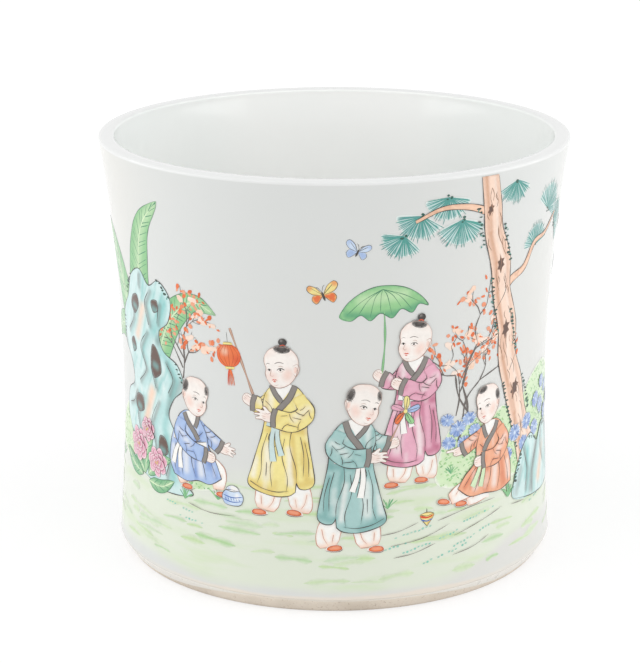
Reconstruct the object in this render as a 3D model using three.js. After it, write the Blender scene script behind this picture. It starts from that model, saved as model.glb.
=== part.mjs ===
// A waisted porcelain brush pot, made of the clay pieces that a potter lutes together and the
// coats of glaze that go over them. Millimetres, +Z up. The pot stands on z = 0 round the z axis.
import * as THREE from 'three';

// The outside, measured over the glaze
const potHeight = 164;
const rimRadius = 90;
const waistRadius = 82.7;
const waistHeight = 65.5;
const heelRadius = 85.6;
const chamferHeight = 5;
const chamferReach = 3.1;

// The clay
const lipThickness = 6;
const heelThickness = 7.5;
const lipCrownHeight = 1.4;
const lipFullness = 0.7;
const footRingWidth = 9;
const slabThickness = 8;
const seamWallThickness = 4.5;
const coveRadius = 6;
const footEdgeRound = 0.9;

// The glaze
const glazeCoat = 0.5;
const bareAboveChamfer = 0.6;
const glazeOverSeam = 0.9;
const glazeEdgeHeight = 0.7;
const baseGlazeMeniscus = 1.4;

// Between curved faces that are bonded in the kiln, so that no facet crosses another
const bondClearance = 0.02;

// How finely round stretches are cut
const turnSegments = 64;
const belowWaistSteps = 3;
const aboveWaistSteps = 5;
const crownSteps = 4;
const coveSteps = 3;
const edgeSteps = 2;

// The colours
const porcelainColour = 0xe9e7e2;
const biscuitColour = 0xcdbfae;
const glazeColour = 0xeef0ee;

// Where the pieces meet
const glazeLine = chamferHeight + bareAboveChamfer;
const seatHeight = glazeLine + glazeOverSeam;
const floorHeight = seatHeight + slabThickness;
const shoulderHeight = potHeight - lipCrownHeight;
const lipCentreRadius = rimRadius - lipThickness / 2;
const slabRadius = outsideRadius(seatHeight) - glazeCoat - seamWallThickness;
const bareHeelRadius = heelRadius - glazeCoat;
const footRadius = bareHeelRadius - chamferReach;
const recessRadius = footRadius - footRingWidth;
const glazeUnderside = glazeCoat - bondClearance;
const coveCentreHeight = floorHeight + glazeCoat + coveRadius;
const coveCentreRadius = insideRadius(coveCentreHeight) - coveRadius;

// The outside is two parabolas that meet, upright, at the waist.
function outsideRadius(height) {
  const above = height > waistHeight;
  const endHeight = above ? shoulderHeight : chamferHeight;
  const endRadius = above ? rimRadius : heelRadius;
  const share = (height - waistHeight) / (endHeight - waistHeight);
  return waistRadius + (endRadius - waistRadius) * share ** 2;
}

// The wall thins evenly from the heel to the lip.
function insideRadius(height) {
  const share = (height - chamferHeight) / (shoulderHeight - chamferHeight);
  return outsideRadius(height) - heelThickness - (lipThickness - heelThickness) * share;
}

function point(radius, height) {
  return new THREE.Vector2(radius, height);
}

// Heights from low to the shoulder, evenly cut on each side of the waist.
function heightsFrom(low) {
  const heights = [];
  for (let i = 0; i < belowWaistSteps; i++) {
    heights.push(low + (waistHeight - low) * i / belowWaistSteps);
  }
  for (let i = 0; i <= aboveWaistSteps; i++) {
    heights.push(waistHeight + (shoulderHeight - waistHeight) * i / aboveWaistSteps);
  }
  return heights;
}

// The lip's crown is a half ellipse made fuller, so that the lip is almost flat between two small
// rounded edges. side is 1 on its outer half and -1 on its inner half, and the points run from
// the shoulder up to the top.
function crown(side, coat) {
  const points = [];
  for (let i = 1; i <= crownSteps; i++) {
    const turn = Math.PI / 2 * i / crownSteps;
    const reach = i === crownSteps ? 0 : (lipThickness / 2 - coat) * Math.cos(turn) ** lipFullness;
    const height = shoulderHeight + (lipCrownHeight - coat) * Math.sin(turn) ** lipFullness;
    points.push(point(lipCentreRadius + side * reach, height));
  }
  return points;
}

// The outer face from the seat up to the top of the lip: the glaze's own at coat 0, and the
// clay's, under the glaze, at coat glazeCoat.
function outerFace(coat) {
  const wall = heightsFrom(seatHeight).map((h) => point(outsideRadius(h) - coat, h));
  return [...wall, ...crown(1, coat)];
}

// The inner face from the top of the lip down the wall and round the cove to the floor.
function innerFace(coat) {
  const cove = [];
  for (let i = coveSteps; i > 0; i--) {
    const turn = Math.PI / 2 * i / coveSteps;
    const out = i === coveSteps ? 0 : (coveRadius + coat) * Math.cos(turn);
    cove.push(point(coveCentreRadius + out, coveCentreHeight - (coveRadius + coat) * Math.sin(turn)));
  }
  const wall = heightsFrom(coveCentreHeight).map((h) => point(insideRadius(h) + coat, h));
  return [...cove, ...wall, ...crown(-1, coat)].reverse();
}

// The corner between two straight faces, rounded over a reach along each of them.
function roundedCorner(before, corner, after, reach) {
  const start = corner.clone().add(before.clone().sub(corner).setLength(reach));
  const end = corner.clone().add(after.clone().sub(corner).setLength(reach));
  return new THREE.QuadraticBezierCurve(start, corner, end).getPoints(edgeSteps);
}

function closed(outline) {
  return [...outline, outline[0].clone()];
}

// Wall: thrown in one with its lip and its cove. A rebate under the cove takes the slab.
function wallOutline() {
  return closed([
    point(slabRadius, floorHeight),
    point(slabRadius, seatHeight),
    ...outerFace(glazeCoat),
    ...innerFace(glazeCoat).slice(1),
  ]);
}

// Base slab: a flat disc that closes the rebate from below.
function slabOutline() {
  return [
    point(0, seatHeight),
    point(slabRadius - bondClearance, seatHeight),
    point(slabRadius - bondClearance, floorHeight),
    point(0, floorHeight),
  ];
}

// Foot ring: carries the wall and the slab. Its chamfer and its standing face are unglazed.
function footRingOutline() {
  const innerTop = point(recessRadius, seatHeight);
  const innerCorner = point(recessRadius, 0);
  const outerCorner = point(footRadius, 0);
  const chamferTop = point(bareHeelRadius, chamferHeight);
  return closed([
    innerTop,
    ...roundedCorner(innerTop, innerCorner, outerCorner, footEdgeRound),
    ...roundedCorner(innerCorner, outerCorner, chamferTop, footEdgeRound),
    chamferTop,
    point(outsideRadius(glazeLine) - glazeCoat, glazeLine),
    point(outsideRadius(seatHeight) - glazeCoat, seatHeight),
  ]);
}

// Outer glaze: a blown coat from just above the chamfer, over the seam, to the top of the lip.
function outerGlazeOutline() {
  const edgeTop = glazeLine + glazeEdgeHeight;
  return closed([
    point(outsideRadius(glazeLine) - glazeUnderside, glazeLine),
    point(outsideRadius(edgeTop), edgeTop),
    ...outerFace(0),
    ...outerFace(glazeUnderside).reverse(),
  ]);
}

// Inner glaze: a poured coat from the top of the lip down the wall and over the floor.
function innerGlazeOutline() {
  return [
    point(0, floorHeight + bondClearance),
    ...innerFace(glazeUnderside).reverse(),
    ...innerFace(0),
    point(0, floorHeight + glazeCoat),
  ];
}

// Base glaze: the glazed panel inside the foot ring, which pools against the ring.
function baseGlazeOutline() {
  const face = seatHeight - glazeCoat;
  const edge = recessRadius - bondClearance;
  const meniscus = roundedCorner(point(0, face), point(edge, face), point(edge, 0), baseGlazeMeniscus);
  return [
    point(0, face),
    ...meniscus,
    point(edge, seatHeight),
    point(0, seatHeight),
  ];
}

// One named piece, turned from its outline and stood upright.
function turned(name, outline, colour, roughness) {
  const geometry = new THREE.LatheGeometry(outline, turnSegments);
  geometry.rotateX(Math.PI / 2);
  const material = new THREE.MeshStandardMaterial({ color: colour, roughness, metalness: 0 });
  const mesh = new THREE.Mesh(geometry, material);
  mesh.name = name;
  return mesh;
}

const brushPot = new THREE.Group();
brushPot.add(
  turned('wall', wallOutline(), porcelainColour, 0.5),
  turned('base_slab', slabOutline(), porcelainColour, 0.5),
  turned('foot_ring', footRingOutline(), biscuitColour, 0.8),
  turned('outer_glaze', outerGlazeOutline(), glazeColour, 0.08),
  turned('inner_glaze', innerGlazeOutline(), glazeColour, 0.08),
  turned('base_glaze', baseGlazeOutline(), glazeColour, 0.12),
);

export default brushPot;
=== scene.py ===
import math
import random

import bpy
import numpy as np
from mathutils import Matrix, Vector, geometry


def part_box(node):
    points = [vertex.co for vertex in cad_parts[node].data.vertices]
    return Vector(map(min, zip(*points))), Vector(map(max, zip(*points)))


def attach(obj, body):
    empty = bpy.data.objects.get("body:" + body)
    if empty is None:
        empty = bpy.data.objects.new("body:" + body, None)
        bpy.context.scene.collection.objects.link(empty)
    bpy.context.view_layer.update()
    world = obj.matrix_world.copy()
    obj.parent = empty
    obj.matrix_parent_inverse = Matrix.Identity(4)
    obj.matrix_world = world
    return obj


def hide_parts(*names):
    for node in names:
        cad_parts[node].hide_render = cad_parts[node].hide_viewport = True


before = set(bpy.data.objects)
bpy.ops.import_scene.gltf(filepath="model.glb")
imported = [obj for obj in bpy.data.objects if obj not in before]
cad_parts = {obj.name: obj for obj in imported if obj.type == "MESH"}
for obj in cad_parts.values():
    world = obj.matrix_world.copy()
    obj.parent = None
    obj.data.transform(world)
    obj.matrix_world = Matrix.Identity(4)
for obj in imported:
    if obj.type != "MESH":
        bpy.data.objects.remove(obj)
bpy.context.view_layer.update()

mm = 0.001

# The turned body. The rim, the height and the glaze line come from the fixed frame.
pot = {
    "rim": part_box("outer_glaze")[1].x / mm,
    "height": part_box("outer_glaze")[1].z / mm,
    "glazeLine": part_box("outer_glaze")[0].z / mm,
    "floor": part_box("base_slab")[1].z / mm,
    "waist": 82.7,
    "waistHeight": 65.5,
    "heel": 85.6,
    "chamferHeight": 5.0,
    "chamferReach": 3.1,
    "lipThickness": 6.0,
    "heelThickness": 7.5,
    "crown": 1.4,
    "lipFullness": 0.7,
    "coat": 0.5,
    "cove": 6.0,
    "footRing": 9.0,
    "baseCurl": 1.4,
    "edgeRound": 0.7,
    "turnSteps": 256,
}
shoulder = pot["height"] - pot["crown"]


def outsideRadius(height):
    above = height > pot["waistHeight"]
    end = shoulder if above else pot["chamferHeight"]
    reach = (pot["rim"] if above else pot["heel"]) - pot["waist"]
    return pot["waist"] + reach * ((height - pot["waistHeight"]) / (end - pot["waistHeight"])) ** 2


def insideRadius(height):
    share = (height - pot["chamferHeight"]) / (shoulder - pot["chamferHeight"])
    thickness = pot["heelThickness"] + (pot["lipThickness"] - pot["heelThickness"]) * share
    return outsideRadius(height) - thickness


# Turning, with Blender's own spin

def deselectAll():
    bpy.ops.object.select_all(action="DESELECT")


def turnProfile(name, profile, steps):
    # one vertex is pulled along the profile, then spun round the pot's axis
    deselectAll()
    bpy.ops.mesh.primitive_plane_add(size=0.001, location=(0, 0, 0))
    piece = bpy.context.active_object
    piece.name = name
    piece.data.name = name
    bpy.ops.object.mode_set(mode="EDIT")
    bpy.ops.mesh.merge(type="CENTER")
    radius, height = profile[0]
    bpy.ops.transform.translate(value=(0, radius * mm, height * mm))
    for (r0, h0), (r1, h1) in zip(profile, profile[1:]):
        step = (0, (r1 - r0) * mm, (h1 - h0) * mm)
        bpy.ops.mesh.extrude_region_move(TRANSFORM_OT_translate={"value": step})
    bpy.ops.mesh.select_all(action="SELECT")
    bpy.ops.mesh.spin(steps=steps, angle=2 * math.pi, center=(0, 0, 0), axis=(0, 0, 1))
    bpy.ops.mesh.select_all(action="SELECT")
    bpy.ops.mesh.remove_doubles(threshold=0.00001)
    bpy.ops.mesh.normals_make_consistent(inside=False)
    bpy.ops.object.mode_set(mode="OBJECT")
    bpy.ops.object.shade_smooth_by_angle(angle=math.radians(50))
    return piece


def arcPoints(centre, radius, start, end, steps, fullness=1.0):
    # part of an ellipse, squarer where the fullness is under 1
    points = []
    for i in range(steps + 1):
        turn = math.radians(start + (end - start) * i / steps)
        across, up = (math.copysign(abs(share) ** fullness, share)
                      for share in (math.cos(turn), math.sin(turn)))
        points.append((centre[0] + radius[0] * across, centre[1] + radius[1] * up))
    return points


def evenHeights(low, high, spacing):
    steps = math.ceil((high - low) / spacing)
    return [low + (high - low) * i / steps for i in range(steps + 1)]


def finishPiece(piece, nodes, material):
    piece.data.materials.clear()
    piece.data.materials.append(material)
    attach(piece, "root")
    if nodes:
        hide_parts(*nodes)


# Shader sums, written as Python sums

class Wire:
    def __init__(self, recipe, socket):
        self.recipe, self.socket = recipe, socket

    def sum(self, operation, first, second):
        node = self.recipe.node("ShaderNodeMath", {"operation": operation}, {0: first, 1: second})
        return node(0)

    def __add__(self, other):
        return self.sum("ADD", self, other)

    __radd__ = __add__

    def __sub__(self, other):
        return self.sum("SUBTRACT", self, other)

    def __rsub__(self, other):
        return self.sum("SUBTRACT", other, self)

    def __mul__(self, other):
        return self.sum("MULTIPLY", self, other)

    __rmul__ = __mul__


class Recipe:
    def __init__(self, block, shader="Principled BSDF"):
        block.use_nodes = True
        self.material = block
        self.tree = block.node_tree
        self.shader = self.tree.nodes[shader]

    def feed(self, socket, value):
        if isinstance(value, Wire):
            self.tree.links.new(value.socket, socket)
        else:
            socket.default_value = value

    def node(self, kind, settings, inputs):
        node = self.tree.nodes.new(kind)
        for name, value in settings.items():
            setattr(node, name, value)
        for name, value in inputs.items():
            self.feed(node.inputs[name], value)
        return lambda output: Wire(self, node.outputs[output])

    def objectCoords(self):
        return self.node("ShaderNodeTexCoord", {}, {})("Object")

    def noise(self, scale, detail, vector):
        inputs = {"Scale": scale, "Detail": detail, "Vector": vector}
        return self.node("ShaderNodeTexNoise", {}, inputs)("Fac")

    def mixColours(self, amount, first, second, blend="MIX"):
        settings = {"data_type": "RGBA", "blend_type": blend}
        return self.node("ShaderNodeMix", settings, {0: amount, 6: first, 7: second})(2)

    def between(self, value, low, high, outLow=0.0, outHigh=1.0):
        inputs = {"Value": value, "From Min": low, "From Max": high, "To Min": outLow, "To Max": outHigh}
        settings = {"interpolation_type": "SMOOTHSTEP"}
        return self.node("ShaderNodeMapRange", settings, inputs)("Result")

    def bump(self, height, strength, distance):
        inputs = {"Height": height, "Strength": strength, "Distance": distance}
        self.set("Normal", self.node("ShaderNodeBump", {}, inputs)("Normal"))

    def set(self, name, value):
        self.feed(self.shader.inputs[name], value)


def hexColour(text):
    # sRGB as written, to the linear values that the shaders read
    parts = [int(text[i:i + 2], 16) / 255 for i in (0, 2, 4)]
    return tuple(p / 12.92 if p <= 0.04045 else ((p + 0.055) / 1.055) ** 2.4 for p in parts)


def paint(text):
    return (*hexColour(text), 1)


# Finishes of the turned pieces

# Lengths are in metres here, but for outerLip and innerLip, which are in millimetres.
# pooled is the tint of a painted shade inside the pot at its left and right, and sideShading is its strength
glazeLook = {"outside": "dadcda", "warm": "dedcd6", "inside": "fcfcfa", "cool": "f4f8f7", "lip": "e6e7e6",
             "pooled": "e4ebe9", "sideShading": 0.28, "outerLip": 1.5, "innerLip": 0.5, "lipBlur": 0.0003,
             "roughness": 0.07, "clouds": 9.0, "ripples": 420.0, "sides": (0.0005, 0.0034)}
washLook = {"ground": "dfe5d5", "grass": "d3e2bf", "top": 0.053, "foot": 0.0095, "slope": 0.2,
            "topUneven": 0.020, "topFine": 0.006, "fadeIn": 0.006, "fadeOut": 0.022, "footUneven": 0.006,
            "footFade": 0.005, "bare": 0.6, "bareSkew": 5.0, "bareLeast": 0.004, "bareUneven": 0.010,
            "sides": (0.0012, 0.0050)}
edgeLook = {"flush": "e6ddd1", "thin": 0.0004, "start": 0.0011, "reach": 0.0013, "runs": 0.0030,
            "paler": 0.7}
biscuitLook = {"clay": "e6dbcd", "dark": "cabdad", "iron": "a58a74", "pale": "ece5db", "lap": "e9e5de",
               "roughness": 0.72, "lapLine": 0.0056, "lapFall": 0.0034, "lapRuns": 0.0012, "lapBlur": 0.0008,
               "sides": (0.0006, 0.0040)}


def towardsSides(recipe, place, low, high):
    # 0 at the front and the back of the pot, 1 at its left and right; low and high are distances squared
    across = recipe.node("ShaderNodeSeparateXYZ", {}, {0: place})("X")
    return recipe.between(across * across, low, high)


def glazeMaterial(name, ground, tint, lipDepth, pooled=0.0):
    # white, clouded with a faint tint, with a band of painted light over the lip: one even tone, lighter than
    # the greyer outside and darker than the inside
    recipe = Recipe(bpy.data.materials.new(name))
    place = recipe.objectCoords()
    cloud = recipe.noise(glazeLook["clouds"], 2.0, place)
    body = recipe.mixColours(recipe.between(cloud, 0.35, 0.75, 0.0, 0.8), paint(ground), paint(tint))
    # painted shade: the inside is tinted cooler and greyer towards the left and right, where it lies in shade
    sideShade = pooled * towardsSides(recipe, place, *glazeLook["sides"])
    body = recipe.mixColours(sideShade, body, paint(glazeLook["pooled"]))
    height = recipe.node("ShaderNodeSeparateXYZ", {}, {0: place})("Z")
    # painted light: the top of the lip gets its own flat tone, to stand in for how it is lit
    lipEdge = (pot["height"] - lipDepth) * mm
    lipToneBand = recipe.between(height, lipEdge - glazeLook["lipBlur"], lipEdge + glazeLook["lipBlur"])
    recipe.set("Base Color", recipe.mixColours(lipToneBand, body, paint(glazeLook["lip"])))
    recipe.set("Roughness", glazeLook["roughness"] + 0.05 * recipe.noise(260.0, 3.0, place))
    recipe.bump(recipe.noise(glazeLook["ripples"], 2.0, place), 0.05, 0.0002)
    return recipe


def biscuitMaterial():
    recipe = Recipe(bpy.data.materials.new("bare_clay"))
    place = recipe.objectCoords()
    stain = recipe.between(recipe.noise(48.0, 5.0, place), 0.42, 0.68)
    specks = recipe.between(recipe.noise(1100.0, 2.0, place), 0.62, 0.72)
    grains = recipe.between(recipe.noise(800.0, 2.0, place), 0.62, 0.72)
    colour = recipe.mixColours(stain * 0.5, paint(biscuitLook["clay"]), paint(biscuitLook["dark"]))
    colour = recipe.mixColours(grains * 0.4, colour, paint(biscuitLook["pale"]))
    colour = recipe.mixColours(specks * 0.5, colour, paint(biscuitLook["iron"]))
    # a film of glaze laps over the chamfer, further down at the sides
    height = recipe.node("ShaderNodeSeparateXYZ", {}, {0: place})("Z")
    sides = towardsSides(recipe, place, *biscuitLook["sides"])
    lapLine = biscuitLook["lapLine"] - biscuitLook["lapFall"] * sides
    lapLine -= biscuitLook["lapRuns"] * recipe.noise(30.0, 3.0, place)
    lapped = recipe.between(height - lapLine, 0.0, biscuitLook["lapBlur"])
    recipe.set("Base Color", recipe.mixColours(lapped, colour, paint(biscuitLook["lap"])))
    recipe.set("Roughness", biscuitLook["roughness"] + 0.15 * recipe.noise(300.0, 3.0, place) - 0.5 * lapped)
    recipe.bump(recipe.noise(1500.0, 4.0, place), 0.35, 0.0003)
    return recipe.material


def washGround(recipe):
    # the meadow: a wash of pale green round the lower third, uneven at its top, with level streaks
    place = recipe.objectCoords()
    axes = recipe.node("ShaderNodeSeparateXYZ", {}, {0: place})
    height = axes("Z")
    level = recipe.node("ShaderNodeVectorMath", {"operation": "MULTIPLY"}, {0: place, 1: (1, 1, 6)})("Vector")
    edge = height - washLook["slope"] * axes("X") + washLook["topUneven"] * recipe.noise(14.0, 3.0, place)
    edge += washLook["topFine"] * recipe.noise(60.0, 2.0, level)
    fade = [washLook["top"] + washLook[end] for end in ("fadeIn", "fadeOut")]
    above = recipe.between(edge, *fade, 1.0, 0.0)
    sides = towardsSides(recipe, place, *washLook["sides"])
    # at its foot it leaves more of the glaze bare to the right than to the left
    bare = sides * (washLook["bare"] + washLook["bareSkew"] * axes("X"))
    bare *= washLook["bareLeast"] + washLook["bareUneven"] * recipe.noise(9.0, 1.0, place)
    foot = height + washLook["footUneven"] * recipe.noise(22.0, 3.0, level) - bare
    below = recipe.between(foot, washLook["foot"], washLook["foot"] + washLook["footFade"])
    streaks = recipe.between(recipe.noise(26.0, 3.0, level), 0.50, 0.72)
    green = recipe.mixColours(streaks * 0.8, paint(washLook["ground"]), paint(washLook["grass"]))
    glaze = Wire(recipe, recipe.shader.inputs["Base Color"].links[0].from_socket)
    meadow = recipe.mixColours(above * below, glaze, green)
    # the glaze thins out at its lower edge and lets the flushed clay show
    runs = height - edgeLook["runs"] * recipe.noise(34.0, 4.0, place)
    low = pot["glazeLine"] * mm + edgeLook["thin"] - edgeLook["start"]
    thin = recipe.between(runs, low, low + edgeLook["reach"], 1.0, 0.0)
    thin *= 1 - edgeLook["paler"] * sides
    recipe.set("Base Color", recipe.mixColours(thin, meadow, paint(edgeLook["flush"])))


# painted shade: the outside is given a greyer white than the inside, though both are the same white glaze
outsideGlaze = glazeMaterial("outside_glaze", glazeLook["outside"], glazeLook["warm"], glazeLook["outerLip"])
washGround(outsideGlaze)
insideGlaze = glazeMaterial("inside_glaze", glazeLook["inside"], glazeLook["cool"], glazeLook["innerLip"],
                            glazeLook["sideShading"])
bareClay = biscuitMaterial()


def lipArc(start, end, steps, inset=0.0):
    # part of the rounded lip, or of the clay that far under it
    centre = (pot["rim"] - pot["lipThickness"] / 2, shoulder)
    reach = (pot["lipThickness"] / 2 - inset, pot["crown"] - inset)
    return arcPoints(centre, reach, start, end, steps, pot["lipFullness"])


# Outer glaze, from its edge above the chamfer up to the top of the lip
glazeFoot = outsideRadius(pot["glazeLine"]) - pot["coat"]
edgeTop = pot["glazeLine"] + pot["edgeRound"]
outsideProfile = [(glazeFoot, pot["glazeLine"])]
outsideProfile += arcPoints((glazeFoot, edgeTop), (pot["coat"], pot["edgeRound"]), -80, -10, 4)
outsideProfile += [(outsideRadius(h), h) for h in evenHeights(edgeTop + 0.1, shoulder, 2.0)]
outsideProfile += lipArc(5, 90, 14) + lipArc(90, 5, 8, pot["coat"])
outsideProfile += [(outsideRadius(h) - pot["coat"], h)
                   for h in reversed(evenHeights(pot["glazeLine"], shoulder, 8.0))]
outsideWall = turnProfile("glazed_outside", outsideProfile, pot["turnSteps"])
finishPiece(outsideWall, ["outer_glaze"], outsideGlaze.material)

# Inner glaze, from the top of the lip down the wall and round the cove to the floor
innerFloor = pot["floor"] + pot["coat"]
coveHeight = innerFloor + pot["cove"]
coveRadius = insideRadius(coveHeight) - pot["cove"]
insideProfile = lipArc(90, 175, 14)
insideProfile += [(insideRadius(h), h) for h in reversed(evenHeights(coveHeight, shoulder, 2.5))]
insideProfile += arcPoints((coveRadius, coveHeight), (pot["cove"], pot["cove"]), -8, -90, 10)
insideProfile += [(coveRadius * share, innerFloor) for share in (0.8, 0.55, 0.3, 0.1, 0.0)]
insideProfile += [(coveRadius * share, pot["floor"]) for share in (0.0, 0.5)]
underCove = (pot["cove"] + pot["coat"], pot["cove"] + pot["coat"])
insideProfile += arcPoints((coveRadius, coveHeight), underCove, -90, -8, 6)
insideProfile += [(insideRadius(h) + pot["coat"], h) for h in evenHeights(coveHeight, shoulder, 10.0)]
insideProfile += lipArc(175, 90, 8, pot["coat"]) + insideProfile[:1]
insideWall = turnProfile("glazed_inside", insideProfile, pot["turnSteps"])
finishPiece(insideWall, ["inner_glaze"], insideGlaze.material)
print("turned the glazed wall")

# Foot ring, bare clay. Its worn edges are steps outwards and up, from the recess and from the foot,
# and its top tucks in behind the heel and under the edge of the glaze.
ring = {"inner": [(0.0, 1.0), (0.25, 0.35), (0.9, 0.0)], "outer": [(-0.8, 0.0), (-0.1, 0.25), (0.45, 0.95)],
        "chamferSteps": 5, "heel": [(0.05, 0.3)], "underGlaze": [(0.02, 0.05)]}


def stepsFrom(radius, height, steps):
    return [(radius + out, height + up) for out, up in steps]


bareHeel = pot["heel"] - pot["coat"]
footRadius = bareHeel - pot["chamferReach"]
recess = footRadius - pot["footRing"]
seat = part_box("base_slab")[0].z / mm
ringProfile = [(recess, seat), *stepsFrom(recess, 0, ring["inner"]), *stepsFrom(footRadius, 0, ring["outer"])]
startRadius, startHeight = ringProfile[-1]
for i in range(1, ring["chamferSteps"] + 1):
    share = i / ring["chamferSteps"]
    ringProfile.append((startRadius + (bareHeel - startRadius) * share,
                        startHeight + (pot["chamferHeight"] - startHeight) * share))
ringProfile += stepsFrom(bareHeel, pot["chamferHeight"], ring["heel"])
ringProfile += stepsFrom(glazeFoot, pot["glazeLine"], ring["underGlaze"])
ringProfile += [(outsideRadius(seat) - pot["coat"], seat), (recess, seat)]
footRing = turnProfile("bare_foot_ring", ringProfile, pot["turnSteps"])
finishPiece(footRing, ["foot_ring"], bareClay)

# Base glaze inside the foot ring
baseFace = seat - pot["coat"]
curl = pot["baseCurl"]
baseProfile = [(0.0, baseFace)] + [(recess * share, baseFace) for share in (0.2, 0.5, 0.8, 0.95)]
baseProfile += arcPoints((recess - curl, baseFace - curl), (curl, curl), 90, 5, 6)
baseProfile += [(recess, baseFace - curl + 0.1), (recess, seat), (0.0, seat)]
basePanel = turnProfile("glazed_base", baseProfile, pot["turnSteps"] // 2)
finishPiece(basePanel, ["base_glaze"], insideGlaze.material)

# The clay under the glaze is closed in, and keeps its own solids
for node in ("wall", "base_slab"):
    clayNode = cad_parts[node]
    clayNode.data.materials.clear()
    clayNode.data.materials.append(bareClay)
print("turned the foot and the base")

# The painting, drawn flat. u is the way round the wall in millimetres, from the middle of the front
# to the right, and v is the height. The canvas is the wall: the radius that u is measured at, the
# height that the painting stops at, and the side of the small squares that coats are counted on.
canvas = {"radius": 85.0, "brim": 161.9, "square": 1.5}
palette = {
    "white": "f6f4f0", "ink": "4a4542", "softInk": "7f7671", "hair": "403b39", "collar": "8b8580",
    "skin": "f7f0ea", "blush": "f1bca8", "flesh": "b98f80", "lips": "d6543c", "red": "d9512c",
    "trouserLine": "c98a76", "orange": "e8743f", "orangeDeep": "c04e22", "peach": "f5cdb2",
    "bark": "c9926f", "hollow": "61493f", "moss": "2f5f52", "yellow": "f3e496", "yellowDeep": "d6b455",
    "rose": "e6acc0", "roseDeep": "b24a70", "teal": "a5c9c6", "tealDeep": "5f9c99", "tealPale": "cbdfdd",
    "blue": "a9c0e6", "blueDeep": "5274ba", "bluePale": "d0e0f3", "rock": "cfe7e6", "rockDeep": "7cc3c0",
    "shade": "6b615c", "leaf": "9bd092", "leafDeep": "4b9a73", "leafPale": "d3e8c0", "needle": "4a9c90",
    "ground": "dbe3d0", "grass": "bcd99a", "turquoise": "7fcbb8", "grey": "b9b4ae", "green": "a5d08e",
    "apricot": "efae8c", "apricotDeep": "cf6a42",
}
# A stroke swells from its ends at this pace, and wavers by this share, this often; its least width
brush = {"taper": 6, "waver": 0.3, "pace": 0.45, "phase": 6.3, "least": 0.05}
painted = []  # in painting order
coatsOn = {}  # how many coats lie on each square


def tint(colour):
    # a palette name, or two names and how much there is of the second
    name, other, share = (colour, colour, 0.0) if isinstance(colour, str) else colour
    first, second = (np.array(hexColour(palette[n])) for n in (name, other))
    return first + (second - first) * share


def curveThrough(points, closed=False, spacing=1.0):
    # a smooth line through set points; a point given twice is a corner
    p = [np.array(q, float) for q in points]
    p = [p[-1], *p, p[0], p[1]] if closed else [2 * p[0] - p[1], *p, 2 * p[-1] - p[-2]]
    line = []
    for a, b, c, d in zip(p, p[1:], p[2:], p[3:]):
        steps = math.ceil(np.hypot(*(c - b)) / spacing)
        for t in (k / steps for k in range(steps)):
            line.append(b + 0.5 * t * (c - a + t * (2 * a - 5 * b + 4 * c - d + t * (3 * b - a - 3 * c + d))))
    return np.array(line if closed else line + [p[-2]])


def sidesOf(line, widths):
    # the two edges of a stroke along a line
    ahead = np.gradient(line, axis=0)
    ahead /= np.maximum(np.hypot(ahead[:, 0], ahead[:, 1]), 1e-9)[:, None]
    across = np.stack([-ahead[:, 1], ahead[:, 0]], 1) * (np.asarray(widths) / 2)[:, None]
    return line + across, line - across


def boxOf(points):
    # left, low, right and high
    return (*np.min(points, axis=0), *np.max(points, axis=0))


def aim(turn):
    # one step in the way that a turn in degrees points
    return math.cos(math.radians(turn)), math.sin(math.radians(turn))


def ellipsePoints(x, y, wide, high, steps=8, turn=0.0):
    angles = [2 * math.pi * i / steps for i in range(steps)]
    c, s = aim(turn)
    return [(x + wide * math.cos(a) * c - high * math.sin(a) * s,
             y + wide * math.cos(a) * s + high * math.sin(a) * c) for a in angles]


def coatOver(lines, kind):
    # which coat this is where it lies: a patch or a dab goes over all, a line just over the last
    side = canvas["square"]
    squares = {(math.floor(u / side), math.floor(v / side)) for line in lines for u, v in line}
    if kind == "patch":
        left, low, right, high = (math.floor(edge / side) for edge in boxOf(lines[0]))
        squares |= {(i, j) for i in range(left, right + 1) for j in range(low, high + 1)}
    top = max(coatsOn.get(square, 0) for square in squares)
    if kind == "line":
        return top + 1
    coatsOn.update({square: top + 2 for square in squares})
    return top + 2


def patchColours(patch, u, v, nearEdge):
    # the base colour, then each shade laid along its own line, then the pool along the edge
    colours = np.tile(patch["colour"], (len(u), 1))
    for line, reach, shade, strength in patch["shades"]:
        away = np.full(len(u), 1e9)
        for (x0, y0), (x1, y1) in zip(line, line[1:]):
            dx, dy = x1 - x0, y1 - y0
            t = np.clip(((u - x0) * dx + (v - y0) * dy) / max(dx * dx + dy * dy, 1e-9), 0, 1)
            away = np.minimum(away, np.hypot(u - x0 - t * dx, v - y0 - t * dy))
        share = np.clip(1 - away / reach, 0, 1)
        share = (share * share * (3 - 2 * share) * strength)[:, None]
        colours = colours * (1 - share) + shade * share
    share = (nearEdge * patch["rimShare"])[:, None]
    return colours * (1 - share) + patch["rim"] * share


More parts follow.
